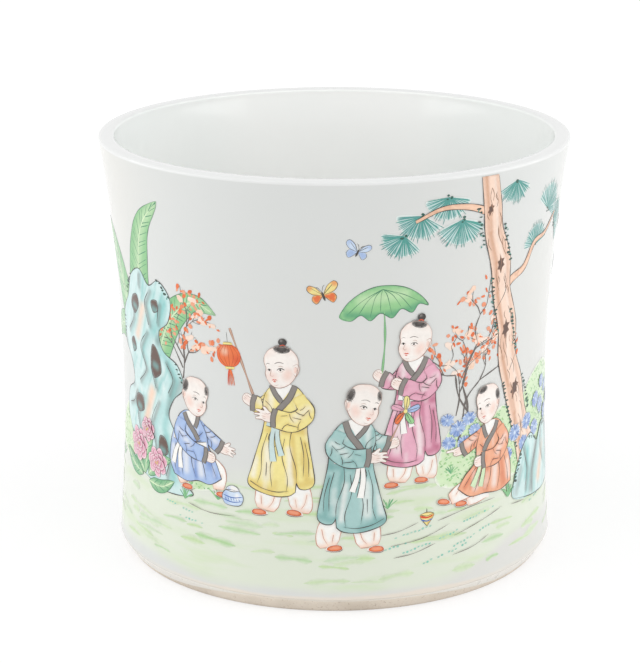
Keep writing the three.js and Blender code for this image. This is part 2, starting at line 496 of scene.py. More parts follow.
class Motif:
    # a place on the wall where something is drawn in its own millimetres
    def __init__(self, name, u, v, size=1.0, turn=0.0, flip=False, lean=0.0):
        self.name, self.origin, self.size, self.lean = name, np.array([u, v], float), size, lean
        c, s = (size * step for step in aim(turn))
        self.frame = np.array([[c, -s], [s, c]]) @ np.diag([-1 if flip else 1, 1])

    def inner(self, at, turn=0.0, size=1.0, flip=False):
        part = Motif(self.name, 0, 0, size, turn, flip)
        part.origin = self.at([at])[0]
        part.frame = self.frame @ part.frame
        part.size = self.size * size
        return part

    def at(self, points):
        p = np.array(points, float)
        p[:, 0] += self.lean * (p[:, 1] / 50) ** 2
        return p @ self.frame.T + self.origin

    def fill(self, outline, colour, shades=(), rim=None, rimShare=0.35, spacing=1.4):
        edge = curveThrough(self.at(outline), closed=True, spacing=0.8)
        edge[:, 1] = np.minimum(edge[:, 1], canvas["brim"])
        laid = [(self.at(line), reach * self.size, tint(shade), strength)
                for line, reach, shade, strength in shades]
        painted.append({"kind": "patch", "piece": self.name, "outline": edge, "shades": laid,
                        "colour": tint(colour), "rim": tint(rim or colour),
                        "rimShare": rimShare if rim else 0.0, "spacing": spacing,
                        "coat": coatOver([edge], "patch")})

    def strokes(self, lines, width, colour, edge=None, kind="_ink", ends=(0.35, 0.25), over="line", lift=0.0):
        # each line is a list of points, or a tuple of points, width and colour where it has its own
        laid = []
        for line in lines:
            points, wide, own = line if isinstance(line, tuple) else (line, width, colour)
            curve = curveThrough(self.at(points), spacing=0.9)
            curve = curve[curve[:, 1] < canvas["brim"]]
            if len(curve) < 2:
                continue
            share = np.linspace(0, 1, len(curve))
            if isinstance(wide, tuple):
                wide = np.interp(share, np.linspace(0, 1, len(wide)), wide)
            swell = (np.minimum(ends[0] + share * brush["taper"], 1)
                     * np.minimum(ends[1] + (1 - share) * brush["taper"], 1))
            waves = brush["phase"] * random.random() + np.arange(len(curve)) * brush["pace"]
            swell *= 1 + brush["waver"] * np.sin(waves)
            left, right = sidesOf(curve, np.maximum(wide * self.size * swell, brush["least"]))
            laid.append({"kind": "stroke", "piece": self.name + kind, "centre": curve, "left": left,
                         "right": right, "colour": tint(own), "edge": tint(edge or own),
                         "lift": random.random() * lift})
        coat = coatOver([stroke["centre"] for stroke in laid], over) if laid else 0
        painted.extend({**stroke, "coat": coat} for stroke in laid)

    def contour(self, outline, width, colour="ink", more=()):
        # one line round an outline, and any others with it
        self.strokes([[*outline, outline[0]], *more], width, colour)

    def limb(self, points, colour, shades=(), rim=None, line="ink", lineWidth=0.28, spacing=1.1, slack=0.04):
        # a tube such as a sleeve or a branch, from points that each carry a width, open at its end
        curve = curveThrough([p[:2] for p in points])
        reach = np.array([0.0, *np.cumsum([math.dist(a[:2], b[:2]) for a, b in zip(points, points[1:])])])
        wide = np.interp(np.linspace(0, reach[-1], len(curve)), reach, [p[2] for p in points])
        sides = []
        for side in sidesOf(curve, wide):
            apart = np.hypot(side[:, :1] - curve[:, 0], side[:, 1:] - curve[:, 1]) - wide / 2
            kept = side[apart.min(axis=1) > -slack * wide.max()]
            sides.append([*kept[:-1:2], kept[-1]])
        outline = [*sides[0], sides[0][-1], sides[1][-1], *sides[1][::-1]]
        self.fill(outline, colour, shades, rim, spacing=spacing)
        self.strokes([side[1:] for side in sides], lineWidth, line)

    def band(self, points, width, colour="collar"):
        # a strip of even width with a line along each edge
        curve = curveThrough(points)
        left, right = sidesOf(curve, np.full(len(curve), width))
        self.fill([*left, left[-1], right[-1], *right[::-1], right[0], left[0]], colour,
                  rim=(colour, "ink", 0.4), rimShare=0.3, spacing=0.9)
        self.strokes([list(left), list(right)], 0.2, "ink")


# Boys at play, in robes of one colour over white trousers. Each is drawn facing left.
hairTufts = {
    "topknot": [(1.2, 8.0, 3.6, 1.8, -8)],
    "sides": [(6.2, 3.5, 1.7, 2.9, 10), (-5.6, 5.0, 1.0, 2.1, -18)],
    "fringe": [(-2.6, 7.5, 2.8, 1.5, 14), (6.5, 2.8, 1.4, 2.5, 8)],
}


def drawHair(head, style):
    # tufts on a shaved head, each combed outwards at its edge
    hairs = 26
    for x, y, wide, high, turn in hairTufts[style]:
        head.fill(ellipsePoints(x, y, wide, high, 9, turn), "hair",
                  [([(x, y + high * 0.4)] * 2, high, "softInk", 0.4)],
                  rim=("hair", "skin", 0.6), rimShare=0.8, spacing=0.6)
        combed = []
        for i in range(hairs):
            a = 2 * math.pi * (i + random.random()) / hairs
            tip = 1.0 + 0.16 * random.random()
            combed.append([(x + wide * f * math.cos(a), y + high * f * math.sin(a)) for f in (0.6, tip)])
        head.strokes(combed, 0.13, ("hair", "skin", 0.25), ends=(1, 0.2))
    if style == "topknot":
        head.fill(ellipsePoints(1.8, 10.9, 1.8, 1.6, 9), "hair", [([(1.3, 11.6)] * 2, 0.9, "grey", 0.6)],
                  spacing=0.6)
        head.strokes([[(0.5, 9.4), (1.8, 9.8), (3.1, 9.2)]], 0.4, "red")


def drawHead(boy, at, tilt, hair):
    # a calm, round child's head
    head = boy.inner(at, tilt, 0.9)
    skull = [(0, 9.0), (4.4, 8.1), (7.2, 5.0), (7.6, 1.2), (6.7, -2.2), (5.4, -4.6), (3.2, -6.8), (0.4, -8.1),
             (-2.4, -8.2), (-4.8, -6.7), (-6.3, -4.2), (-6.6, -2.0), (-6.1, 0.0), (-6.7, 2.4), (-6.5, 4.8),
             (-4.6, 7.5), (-2.4, 8.7)]
    ear = [(5.2, 0.8), (6.9, 1.6), (7.9, 0.3), (7.3, -1.9), (6.1, -3.6), (5.3, -2.4)]
    head.fill(skull, "skin", [([(-4.0, -3.2), (-3.4, -3.6)], 3.4, "blush", 0.4),
                              ([(3.2, -2.4), (2.6, -3.4)], 3.8, "blush", 0.5),
                              ([(-5.0, 5.6), (0, 8.2), (5, 6.4)], 2.4, "blush", 0.14)],
              rim=("blush", "skin", 0.35), rimShare=0.4, spacing=0.9)
    head.fill(ear, "skin", [([(6.3, -0.4), (6.2, -1.6)], 1.4, "blush", 0.7)], spacing=0.8)
    brows = [[(-2.4, 1.9), (-0.6, 2.5), (1.6, 2.0)], [(-6.0, 1.6), (-5.1, 2.1), (-4.2, 1.8)]]
    for lines, width, colour in (([ear, [(6.1, 0.4), (6.9, -0.2), (6.3, -1.9)]], 0.18, "flesh"),
                                 ([skull[3:11], skull[10:15]], 0.22, ("flesh", "ink", 0.3)),
                                 ([[*skull[13:], *skull[:5]]], 0.15, ("flesh", "grey", 0.4)),
                                 (brows, 0.26, "softInk")):
        head.strokes(lines, width, colour)
    for x in (-0.1, -4.75):
        head.fill(ellipsePoints(x, -0.75, 0.44, 0.46), "hair", spacing=0.5)
    eyelids = [[(-1.6, -0.9), (-0.7, -0.2), (0.6, -0.15), (1.7, -0.8)],
               [(-5.7, -0.8), (-5.0, -0.25), (-4.0, -0.6)]]
    creases = [[(-1.1, -1.3), (0.1, -1.6), (1.1, -1.2)], [(-0.9, 0.7), (0.3, 0.9), (1.4, 0.4)],
               [(-3.2, -7.0), (-2.3, -7.25), (-1.4, -6.9)]]
    nose = [(-3.9, -0.4), (-4.3, -2.0), (-4.6, -2.9), (-3.9, -3.4), (-3.2, -3.1)]
    upperLip = [(-4.0, -5.0), (-3.3, -4.8), (-2.9, -5.0), (-2.4, -4.8), (-1.7, -5.1)]
    lowerLip = [(-3.5, -5.5), (-2.9, -5.7), (-2.3, -5.5)]
    for lines, width, colour in ((eyelids, 0.3, "ink"), (creases, 0.12, "flesh"), ([nose], 0.18, "flesh"),
                                 ([upperLip], 0.42, "lips"), ([lowerLip], 0.38, "lips")):
        head.strokes(lines, width, colour)
    drawHair(head, hair)


handShapes = {
    "fist": [(0.8, 1.5), (-1.4, 2.2), (-3.8, 1.9), (-4.6, 0.4), (-4.2, -1.3), (-2.4, -2.1), (0.8, -1.5)],
    "open": [(0.9, 1.4), (-1.4, 2.1), (-3.0, 3.5), (-4.0, 3.8), (-4.2, 3.2), (-3.5, 2.2), (-5.4, 2.3),
             (-6.7, 2.2), (-6.9, 1.6), (-5.0, 1.1), (-7.3, 0.6), (-7.3, 0.0), (-5.0, -0.1), (-6.7, -1.0),
             (-6.5, -1.6), (-4.2, -1.4), (-2.8, -1.9), (0.9, -1.5)],
    "point": [(0.9, 1.4), (-2.0, 1.9), (-4.4, 1.7), (-7.8, 1.9), (-7.9, 1.0), (-4.6, 0.5), (-4.9, -0.6),
              (-3.4, -1.7), (0.9, -1.5)],
}


def drawHand(boy, at, turn, shape, size):
    # drawn pointing left, the wrist at the origin
    hand = boy.inner(at, turn, size)
    hand.fill(handShapes[shape], "skin", [([(-1, 0), (-3, 0)], 2.2, "blush", 0.35)], spacing=0.8)
    hand.contour(handShapes[shape], 0.2, ("flesh", "ink", 0.25))
    hand.strokes([[(-4.3, 0.9), (-2.7, 0.8)], [(-4.5, 0.0), (-2.8, -0.1)], [(-4.1, -0.8), (-2.7, -0.8)],
                  [(-0.6, 1.9), (-2.0, 1.1), (-3.2, 1.4)]], 0.14, "flesh")


def drawShoe(boy, at, turn):
    # the toe of a cloth shoe, under the hem of the trousers
    shoe = boy.inner(at, turn, 0.8)
    sole = [(3.4, 0.4), (0.6, -0.5), (-3.2, -0.6), (-4.8, 0.3)]
    toe = [(2.6, 0.6), (0.4, -0.1), (-3.2, -0.1), (-4.4, 0.7), (-3.8, 1.9), (-2.0, 2.5), (0.6, 2.3),
           (2.4, 1.5)]
    shoe.fill(sole + [(-4.4, 1.8), (-2.2, 2.7), (0.8, 2.5), (3.0, 1.6)], "white", rim=("peach", "grey", 0.4),
              rimShare=0.4, spacing=0.9)
    shoe.fill(toe, "orange", [([(-2.8, 1.3), (0.6, 1.3)], 1.3, ("orange", "peach", 0.55), 0.8)],
              rim="orangeDeep", rimShare=0.6, spacing=0.7)
    shoe.strokes([toe[:6], toe[5:] + toe[:1]], 0.2, ("orangeDeep", "ink", 0.35))
    shoe.strokes([sole], 0.26, ("ink", "flesh", 0.3))


def endOf(points, bow):
    # the way in which a limb ends, and a line across its end that bows outwards
    (x0, y0, w0), (x1, y1, w1) = points[-2:]
    long = math.dist((x0, y0), (x1, y1))
    dx, dy = (x1 - x0) / long, (y1 - y0) / long
    return dx, dy, [(x1 - dy * w1 * 0.5, y1 + dx * w1 * 0.5), (x1 + dx * bow, y1 + dy * bow),
                    (x1 + dy * w1 * 0.5, y1 - dx * w1 * 0.5)]


def drawLeg(boy, points, folds, shoe, turn):
    # full white trousers, flushed with pink along their folds and drawn in at the ankle
    hem = endOf(points, 0.3)[2]
    flush = [(hem, 2.6, ("peach", "blush", 0.35), 0.75)]
    flush += [(fold, 1.3, ("peach", "white", 0.15), 0.6) for fold in folds]
    boy.limb(points, "white", flush, ("peach", "blush", 0.3), "trouserLine", 0.24, spacing=0.8, slack=0.14)
    boy.strokes([hem] + folds, 0.2, "trouserLine", ends=(0.8, 0.1))
    drawShoe(boy, shoe, turn)


def drawCloth(boy, outline, colour, folds, shades, lights):
    # a robe: thin colour, worn pale where it is full and pooled deep along the folds, then its ink lines
    deep = colour + "Deep"
    pools = [(line, reach * 1.3, (colour, "white", 0.7), 0.9) for line, reach in lights]
    pools += [(line, reach * 0.9, deep, 0.55) for line, reach in shades]
    pools += [(fold, 0.9, deep, 0.25) for fold in folds]
    left, low, right, high = boxOf(outline)
    for i in range(18):
        x, y = random.uniform(left, right), random.uniform(low + 3, high)
        shade, share = (deep, 0.34) if i % 3 == 0 else ((colour, "white", 0.6), 0.5)
        pools.append(([(x, y), (x * 1.05, y - random.uniform(2, 6))], random.uniform(0.9, 2.0), shade, share))
    boy.fill(outline, colour, pools, rim=deep, rimShare=0.2, spacing=0.8)
    boy.contour(outline, 0.3)
    boy.strokes(folds, 0.26, "ink", ends=(0.8, 0.08))


def sleeveCreases(points):
    # short hooked folds that run in from both edges of a sleeve
    curve = curveThrough([p[:2] for p in points])
    wide = np.interp(np.linspace(0, len(points) - 1, len(curve)), range(len(points)), [p[2] for p in points])
    creases = []
    for i, share in enumerate((0.3, 0.42, 0.54, 0.66, 0.78, 0.88)):
        k = int(share * (len(curve) - 2))
        (x, y), (dx, dy) = curve[k], curve[k + 1] - curve[k]
        side = wide[k] * (0.5 if i % 2 else -0.5)
        creases.append([(x - dy * side * f - dx * back, y + dx * side * f - dy * back)
                        for f, back in ((0.96, 0), (0.5, 0.7), (0.1, 2.2))])
    return creases


def drawSleeve(boy, colour, points, folds, hand):
    # from the shoulder to the wrist, with a grey cuff across its end
    deep = colour + "Deep"
    dx, dy, cuff = endOf(points, 0.5)
    x, y, wide = points[-1]
    drawHand(boy, (x + dx * 0.6, y + dy * 0.6), *hand)
    bright = [(px + 0.6, py + 1.2) for px, py, w in points[1:3]]
    folds = [*folds, *sleeveCreases(points)]
    boy.limb(points, colour, [(bright, wide * 0.4, (colour, "white", 0.65), 0.85),
                              ([(x, y)] * 2, wide * 0.5, deep, 0.45),
                              *[(fold, 1.0, deep, 0.35) for fold in folds]], deep, lineWidth=0.29,
             spacing=0.8)
    boy.strokes(folds, 0.24, "ink", ends=(0.9, 0.08))
    boy.band(cuff, 2.0)


# The robe of each pose with its collar and sash. The legs are points, folds, shoe and the shoe's turn;
# the knot is its place and size, and the tie is the width of the sash and of its lines.
boyPoses = {
    "walking": {
        "robe": [(-2.6, 50.4), (-6.0, 48.2), (-7.8, 43.0), (-7.2, 38.0), (-8.2, 32.0), (-10.4, 25.0),
                 (-12.6, 18.0), (-14.2, 12.8), (-13.0, 10.4), (-8.6, 8.6), (-3.0, 7.6), (2.0, 8.2),
                 (4.4, 9.8), (4.4, 9.8), (4.8, 13.4), (4.8, 13.4), (6.0, 11.2), (9.2, 11.2), (11.6, 13.6),
                 (11.0, 20.0), (9.8, 27.0), (9.0, 34.0), (9.2, 40.0), (8.6, 45.4), (6.2, 49.2), (3.4, 50.6)],
        "folds": [[(3.2, 34), (2.4, 27), (4.6, 19), (4.8, 13.4)], [(6.4, 31), (7.6, 24), (7.4, 16)],
                  [(8.0, 29), (9.4, 22), (9.4, 16)], [(0.4, 30), (-0.6, 23), (1.4, 15), (1.0, 9.6)],
                  [(-4.4, 33), (-5.8, 29.6), (-3.8, 26.6), (-2.4, 28)],
                  [(-1.4, 32.8), (-2.6, 29.4), (-1.0, 27.6)],
                  [(-6.2, 31.6), (-8.4, 24.6), (-8.8, 17), (-10.4, 12)],
                  [(-3.4, 24.6), (-5.2, 18.4), (-4.6, 11)],
                  [(-13.2, 12.6), (-8.6, 10.4), (-3.0, 9.4), (1.8, 10)],
                  [(-6.8, 44), (-4.6, 41.8), (-4.0, 39.2)], [(-6.8, 40.6), (-4.4, 38.2)],
                  [(7.6, 44.2), (5.2, 41), (4.8, 38.2)], [(8.4, 39.6), (5.2, 36.6)],
                  [(-6.6, 20.4), (-6.9, 15)]],
        "shades": [([(-13, 12), (-5, 9)], 3.2), ([(6.4, 12.6), (10.4, 14)], 2.6), ([(-6, 33), (7, 33)], 2.6),
                   ([(8.6, 46), (8.6, 33)], 2.8), ([(3.4, 31), (4.6, 13)], 1.8), ([(8, 29), (8.6, 15)], 2.0),
                   ([(-6.6, 46), (-6.4, 36)], 2.4), ([(-3.4, 30), (-2, 27)], 2.0)],
        "lights": [([(-5.8, 26), (-6.8, 15)], 2.6), ([(2.0, 26), (2.8, 13)], 1.8),
                   ([(-11, 21), (-12, 15)], 1.6), ([(-4.4, 47), (-6.0, 41)], 2.0),
                   ([(5.6, 46), (6.4, 41)], 1.8)],
        "legs": [([(4.8, 14, 8.0), (6.0, 8.8, 9.0), (6.6, 4.6, 8.6), (6.2, 2.4, 6.0)],
                  [[(8.8, 9), (8.0, 5.6), (6.6, 3.4)], [(4.4, 7), (4.9, 4)]], (4.6, 0.9), -6),
                 ([(-4.6, 13, 9.0), (-5.8, 8.8, 10.2), (-6.6, 4.6, 9.4), (-7.0, 2.2, 6.6)],
                  [[(-3.4, 8), (-4.4, 5), (-6.2, 3)], [(-8.8, 7.4), (-8.6, 4)]], (-8.8, 0.2), 0)],
        "collar": [[(-4.4, 50.2), (-3.0, 47.0), (-0.6, 43.9)],
                   [(4.6, 50.3), (2.2, 45.4), (-1.6, 41.0), (-4.4, 37.0)]],
        "neck": [(-2.8, 50.6), (3.4, 50.6), (1.0, 46.4), (-0.8, 44.6)],
        "sash": [(-6.4, 35.6), (0, 34.5), (6.6, 35.4)], "knot": (-3.0, 35.2, 1.7, 1.4), "tie": (2.2, 0.2),
        "ends": [[(-3.6, 34.6, 1.5), (-4.6, 28, 2.0), (-4.0, 21, 2.6)],
                 [(-2.4, 34.6, 1.4), (-2.2, 29, 1.9), (-0.8, 23.4, 2.4)]],
    },
    "crouching": {
        "robe": [(-4, 30), (-7, 25), (-8.5, 19), (-12, 13.5), (-14.4, 7.6), (-14.4, 7.6), (-9, 4.4),
                 (-3, 4.8), (3, 3.4), (10.4, 4.8), (10.4, 4.8), (13, 10), (12.4, 18), (9.8, 25), (6.6, 30.4),
                 (2, 32.6)],
        "folds": [[(-6, 18.6), (-9, 14), (-11.8, 8)], [(-3, 18), (-5.4, 12), (-7, 6)],
                  [(1, 18), (0.6, 12), (-1.6, 6)], [(5, 18.4), (6.4, 12), (5.4, 5.4)],
                  [(9.4, 18), (10.6, 12), (9.6, 6.4)], [(-5.4, 25), (-2.4, 22)], [(7.6, 26), (4.4, 22.6)],
                  [(-4.6, 21.4), (0, 20)], [(8.8, 22), (5.6, 19.8)]],
        "shades": [([(-7, 17), (-11.4, 8)], 2.4), ([(0, 17), (-2, 6)], 2.0), ([(7, 17), (8, 6)], 2.6),
                   ([(-4, 24), (0, 19)], 2.2), ([(8, 26), (6, 20)], 2.2)],
        "lights": [([(-3.6, 15), (-4.6, 8)], 2.2), ([(3.6, 16), (3.4, 8)], 2.2),
                   ([(10.8, 16), (11.2, 10)], 1.8)],
        "legs": [([(5, 8, 8), (5.4, 5, 7), (4.4, 2.6, 5)], [[(4, 5), (4.6, 3.4)]], (3.6, 0.3), -4),
                 ([(-6, 13, 9), (-12.4, 9.6, 8.4), (-13, 3.2, 4.8)],
                  [[(-14.4, 9), (-12.6, 6.4)], [(-10.4, 8.4), (-11.4, 5)]], (-14.0, 0.5), 0)],
        "collar": [[(-3.2, 31.4), (-2.6, 28.6), (-1.4, 26.2)],
                   [(4.2, 31.4), (2.4, 28), (-0.8, 24.6), (-3.2, 21.4)]],
        "neck": [(-2.4, 32), (3.2, 32), (1.0, 28.4), (-0.8, 27)],
        "sash": [(-7.4, 20.4), (1, 19), (10.6, 20.6)], "knot": (5.6, 19.6, 1.5, 1.3), "tie": (2.0, 0.18),
        "ends": [[(5.6, 19.6, 1.5), (7.0, 14, 2.1), (6.6, 8, 2.8)],
                 [(6.4, 19.6, 1.4), (9.2, 15, 2.0), (10.8, 9.4, 2.6)]],
    },
    "seated": {
        "robe": [(-5, 31), (-7.4, 24), (-8, 17.4), (-13, 13), (-17, 8), (-17, 8), (-11, 3.8), (-3, 3.4),
                 (6, 2.4), (13.4, 4.4), (13.4, 4.4), (13.4, 12), (10.4, 21), (8, 29), (3, 32.8)],
        "folds": [[(-6, 16.6), (-10, 12.6), (-14, 8)], [(-3, 16), (-6, 10), (-8.6, 5)],
                  [(1, 16), (0.4, 10), (-2, 4.4)], [(5, 16.4), (6, 10), (4.4, 3.4)],
                  [(9, 16), (11, 10), (11.4, 4.6)], [(-5.6, 24), (-2.4, 21)], [(7.6, 25), (4.4, 21.6)],
                  [(-5.6, 19.8), (-1, 18.6)]],
        "shades": [([(-7, 15), (-13.4, 8)], 2.4), ([(-1, 15), (-3, 5)], 2.0), ([(7, 15), (9, 5)], 2.6),
                   ([(-4, 23), (0, 18)], 2.2), ([(8, 25), (6, 19)], 2.2)],
        "lights": [([(-6, 12), (-8, 7)], 2.2), ([(3.4, 14), (2.6, 6)], 2.2), ([(11.2, 13), (11.6, 7)], 1.8)],
        "legs": [([(-1, 5, 7), (-8, 3.4, 6.4), (-12.4, 2.4, 4.6)], [[(-7, 4), (-9.4, 2.8)]], (-14.6, 0.8),
                  -6),
                 ([(-6, 8, 8), (-15, 6.6, 7.4), (-20.4, 4.4, 4.8)],
                  [[(-12, 8), (-15, 6)], [(-16, 8), (-18, 5.6)]], (-23.0, 3.0), -14)],
        "collar": [[(-4.0, 31.6), (-3.2, 28.8), (-1.8, 26)],
                   [(4.2, 31.8), (2.4, 28), (-1.2, 24.2), (-3.6, 20.6)]],
        "neck": [(-3, 32), (3.2, 32.2), (0.8, 28.4), (-1.2, 26.8)],
        "sash": [(-7.6, 18.8), (1, 17.6), (11, 19.4)], "knot": (-4.4, 18.4, 1.5, 1.3), "tie": (2.0, 0.18),
        "ends": [[(-4.4, 18.4, 1.5), (-6.4, 13, 2.1), (-9.6, 7.4, 2.8)],
                 [(-3.6, 18.2, 1.4), (-3.6, 13, 2.0), (-5.4, 6.6, 2.6)]],
    },
}


def drawSash(boy, kit, colour):
    # round the waist, tied in a knot with two hanging ends
    wide, line = kit["tie"]
    boy.band(kit["sash"], wide, colour)
    for end in kit["ends"]:
        boy.limb(end, colour, lineWidth=line)
    knot = ellipsePoints(*kit["knot"])
    boy.fill(knot, colour, rim=(colour, "ink", 0.3), spacing=0.8)
    boy.strokes([knot], line, "ink")


def drawBoy(boy, pose, colour, sash, head, far, near, stride=0.0):
    # far and near are the sleeves behind and before the robe: points, folds and the hand
    kit = boyPoses[pose]
    drawSleeve(boy, colour, *far)
    for out, (leg, folds, shoe, turn) in zip((stride, -stride), kit["legs"]):
        leg = leg[:1] + [(x + out, y, wide) for x, y, wide in leg[1:]]
        folds = [[(x + out, y) for x, y in fold] for fold in folds]
        drawLeg(boy, leg, folds, (shoe[0] + out, shoe[1]), turn)
    drawCloth(boy, kit["robe"], colour, kit["folds"], kit["shades"], kit["lights"])
    boy.fill(kit["neck"], "white", rim="skin", rimShare=0.5, spacing=0.9)
    for edge, wide in zip(kit["collar"], (1.9, 2.2)):
        boy.band(edge, wide)
    drawSash(boy, kit, sash)
    x, y, tilt, hair = head
    drawHead(boy, (x, y), tilt, hair)
    drawSleeve(boy, colour, *near)


# What the boys play with

def drawPole(boy, start, end, width):
    boy.strokes([([start, end], width, ("bark", "white", 0.25))], width, "bark", edge=("bark", "ink", 0.55),
                ends=(1, 0.8))


def drawLantern(boy, at, turn):
    lamp = boy.inner(at, turn)
    caps = [((1.9, 4.1 * end), (1.6, 5.1 * end)) for end in (1, -1)]
    ribs = (-2, -1, 0, 1, 2)
    lamp.strokes([[(0, 9), (0, 4.6)]], 0.18, "ink")
    lamp.fill(ellipsePoints(0, 0, 5.0, 4.5, 10), "orange",
              [([(-1.6, 1.6)] * 2, 2.6, "peach", 0.85), ([(3.4, -1.6)] * 2, 3, "red", 0.8)],
              rim="red", rimShare=0.7, spacing=0.8)
    for (x0, y0), (x1, y1) in caps:
        lamp.fill([(-x0, y0), (x0, y0), (x0, y0), (x1, y1), (-x1, y1), (-x0, y0)], "yellow", rim="yellowDeep",
                  spacing=0.7)
    lamp.strokes([[(0.75 * k, 4.2), (0.75 * k * 2.6, 0), (0.75 * k, -4.2)] for k in ribs], 0.16, "orangeDeep")
    lamp.strokes([[(-x, y), (x, y)] for cap in caps for x, y in cap], 0.18, "ink")
    lamp.strokes([([(0.5 * k * 0.4, -5.1), (0.5 * k, -8), (0.5 * k * 1.4, -11.4)], 0.34,
                   random.choice(("red", "orange"))) for k in ribs], 0.3, "red")


def drawPinwheel(boy, hand, hub):
    drawPole(boy, hand, hub, 0.5)
    wheel = boy.inner(hub)
    vane = [(0, 0), (2.2, 1.9), (5.2, 2.0), (5.6, 0.4), (3.0, -0.2)]
    for k, colour in enumerate(("rose", "yellow", "blue", "leaf", "orange")):
        place = wheel.inner((0, 0), 72 * k + 10)
        place.fill(vane, colour, [([(1.2, 0.5)] * 2, 1.8, "ink", 0.25)], rim=(colour, "ink", 0.35),
                   spacing=0.8)
        place.contour(vane, 0.17, more=[[(0.4, 0.2), (5.2, 1.6)]])
    wheel.fill(ellipsePoints(0, 0, 0.8, 0.8), "yellow", rim="yellowDeep", spacing=0.5)


def drawParasolLeaf(boy, hand, at, turn):
    # a lotus leaf held up on its stalk
    stalk = [hand, ((hand[0] + at[0]) / 2 + 0.8, (hand[1] + at[1]) / 2), at]
    boy.strokes([(stalk, 0.75, "leaf")], 0.7, "leaf", edge=("leafDeep", "ink", 0.3), ends=(1, 1))
    leaf = boy.inner(at, turn)
    edge = [(-17, -2.6), (-14, 1.8), (-9, 5.4), (-3, 7.4), (3, 7.2), (9, 5.2), (14, 1.4), (17, -3.2),
            (13.4, -2.0), (10.4, -4.8), (6.4, -2.6), (2.6, -5.6), (-1.6, -3.0), (-5.6, -5.4), (-9, -2.8),
            (-13, -4.6)]
    veins = [(-14, -2), (-9.6, -2.2), (-5.6, -4), (-1.6, -2.4), (2.6, -4.2), (6.4, -2), (10.4, -3.4),
             (14, -1.4)]
    leaf.fill(edge, ("leaf", "leafDeep", 0.15),
              [([(-8, 3), (8, 3)], 4, ("leaf", "leafPale", 0.7), 0.8),
               ([(-14, -2), (-4, -4), (6, -4), (14, -2.4)], 2.6, "leafDeep", 0.75)],
              rim="leafDeep", rimShare=0.5, spacing=0.9)
    leaf.contour(edge, 0.24, ("leafDeep", "ink", 0.6))
    leaf.strokes([[(0, 6.2), (x * 0.55, 3.6 - abs(x) * 0.06), (x, y)] for x, y in veins], 0.2,
                 ("leafDeep", "ink", 0.35))


def drawTop(boy, at):
    toy = boy.inner(at)
    body = [(-3, 4.2), (0, 5.0), (3, 4.2), (2.6, 2.6), (0, -0.6), (0, -0.6), (-2.6, 2.6)]
    toy.strokes([[(0, 6.6), (0, 4.4)]], 0.5, "ink")
    toy.fill(body, "yellow", [([(2, 3), (0.6, 0.6)], 1.4, "yellowDeep", 0.8)], rim="orangeDeep", rimShare=0.4,
             spacing=0.7)
    toy.strokes([[(-2.9, 3.6), (0, 2.8), (2.9, 3.6)]], 0.7, "red", kind="")
    toy.strokes([[(-2.5, 2.2), (0, 1.4), (2.5, 2.2)]], 0.6, "blueDeep", kind="")
    toy.contour(body, 0.2, more=[[(-3, 4.2), (0, 3.5), (3, 4.2)]])


def drawJar(boy, at):
    # a small jar with a lid, for crickets
    jar = boy.inner(at)
    body = [(-2.4, 6), (-4.4, 4.4), (-4.6, 2.2), (-2.8, 0), (2.8, 0), (4.6, 2.2), (4.4, 4.4), (2.4, 6)]
    lid = [(-3, 6.0), (0, 5.4), (3, 6.0), (2, 7.4), (0, 8.0), (-2, 7.4)]
    jar.fill(body, "bluePale", [([(2.6, 1.4), (3.2, 4.4)], 2.0, "blue", 0.9),
                                ([(-2, 3), (-2, 4)], 1.6, "white", 0.9)],
             rim="blue", spacing=0.7)
    jar.fill(lid, "white", [([(1.6, 6.4)] * 2, 1.4, "blue", 0.8)], rim="blue", spacing=0.7)
    jar.contour(body, 0.2, more=[lid + lid[:1]])
    jar.strokes([[(-4.5, 3.8), (0, 3.0), (4.5, 3.8)], [(-4.4, 2.0), (0, 1.2), (4.4, 2.0)]], 0.34, "blueDeep")
    jar.strokes([[(x, 1.7), (x + 0.5, 2.9)] for x in (-3.2, -2, -0.8, 0.4, 1.6, 2.8)], 0.3, "blueDeep")


def drawKite(boy, hand, at):
    # a diamond kite with two long tails
    kite = boy.inner(at, -24)
    diamond = [(0, 8.6), (0, 8.6), (-6, 1.6), (-6, 1.6), (0, -8), (0, -8), (6, 1.6), (6, 1.6)]
    boy.strokes([[hand, ((hand[0] * 2 + at[0]) / 3 - 2, (hand[1] * 2 + at[1]) / 3 - 3), at]], 0.16, "softInk")
    kite.strokes([([(x, -7), (x * 2.2, -13), (x * 1.2 + 1, -19), (x * 2.4, -25)], 1.0, colour)
                  for x, colour in ((-0.8, "rose"), (0.8, "blue"))], 1.0, "rose", kind="", ends=(0.6, 0.2))
    kite.fill(diamond, "yellow", [([(-3.4, 2), (3.4, 2)], 2.2, "orange", 0.8),
                                  ([(0, -6)] * 2, 3, "rose", 0.8), ([(0, 6)] * 2, 2.4, "leaf", 0.8)],
              rim="yellowDeep", spacing=0.8)
    kite.contour(diamond, 0.22, more=[[(0, 8.6), (0, -8)], [(-6, 1.6), (6, 1.6)]])


def drawFan(boy, hand, at, turn):
    # a round silk fan on a stick
    drawPole(boy, hand, at, 0.6)
    fan = boy.inner(at, turn)
    fan.fill(ellipsePoints(0, 0, 5.2, 4.8, 10), "white", [([(-1, 0.4), (1.6, -0.6)], 3.0, "rose", 0.5)],
             rim="tealPale", rimShare=0.7, spacing=0.8)
    fan.contour(ellipsePoints(0, 0, 5.2, 4.8, 12), 0.4, ("bark", "ink", 0.4))
    drawDabs(fan, [dab(1.3 * math.cos(a), 1.2 * math.sin(a), 1.6, math.degrees(a), 1.2,
                       ("rose", "roseDeep", 0.3))
                   for a in (0.3, 1.55, 2.8, 4.1, 5.3)])


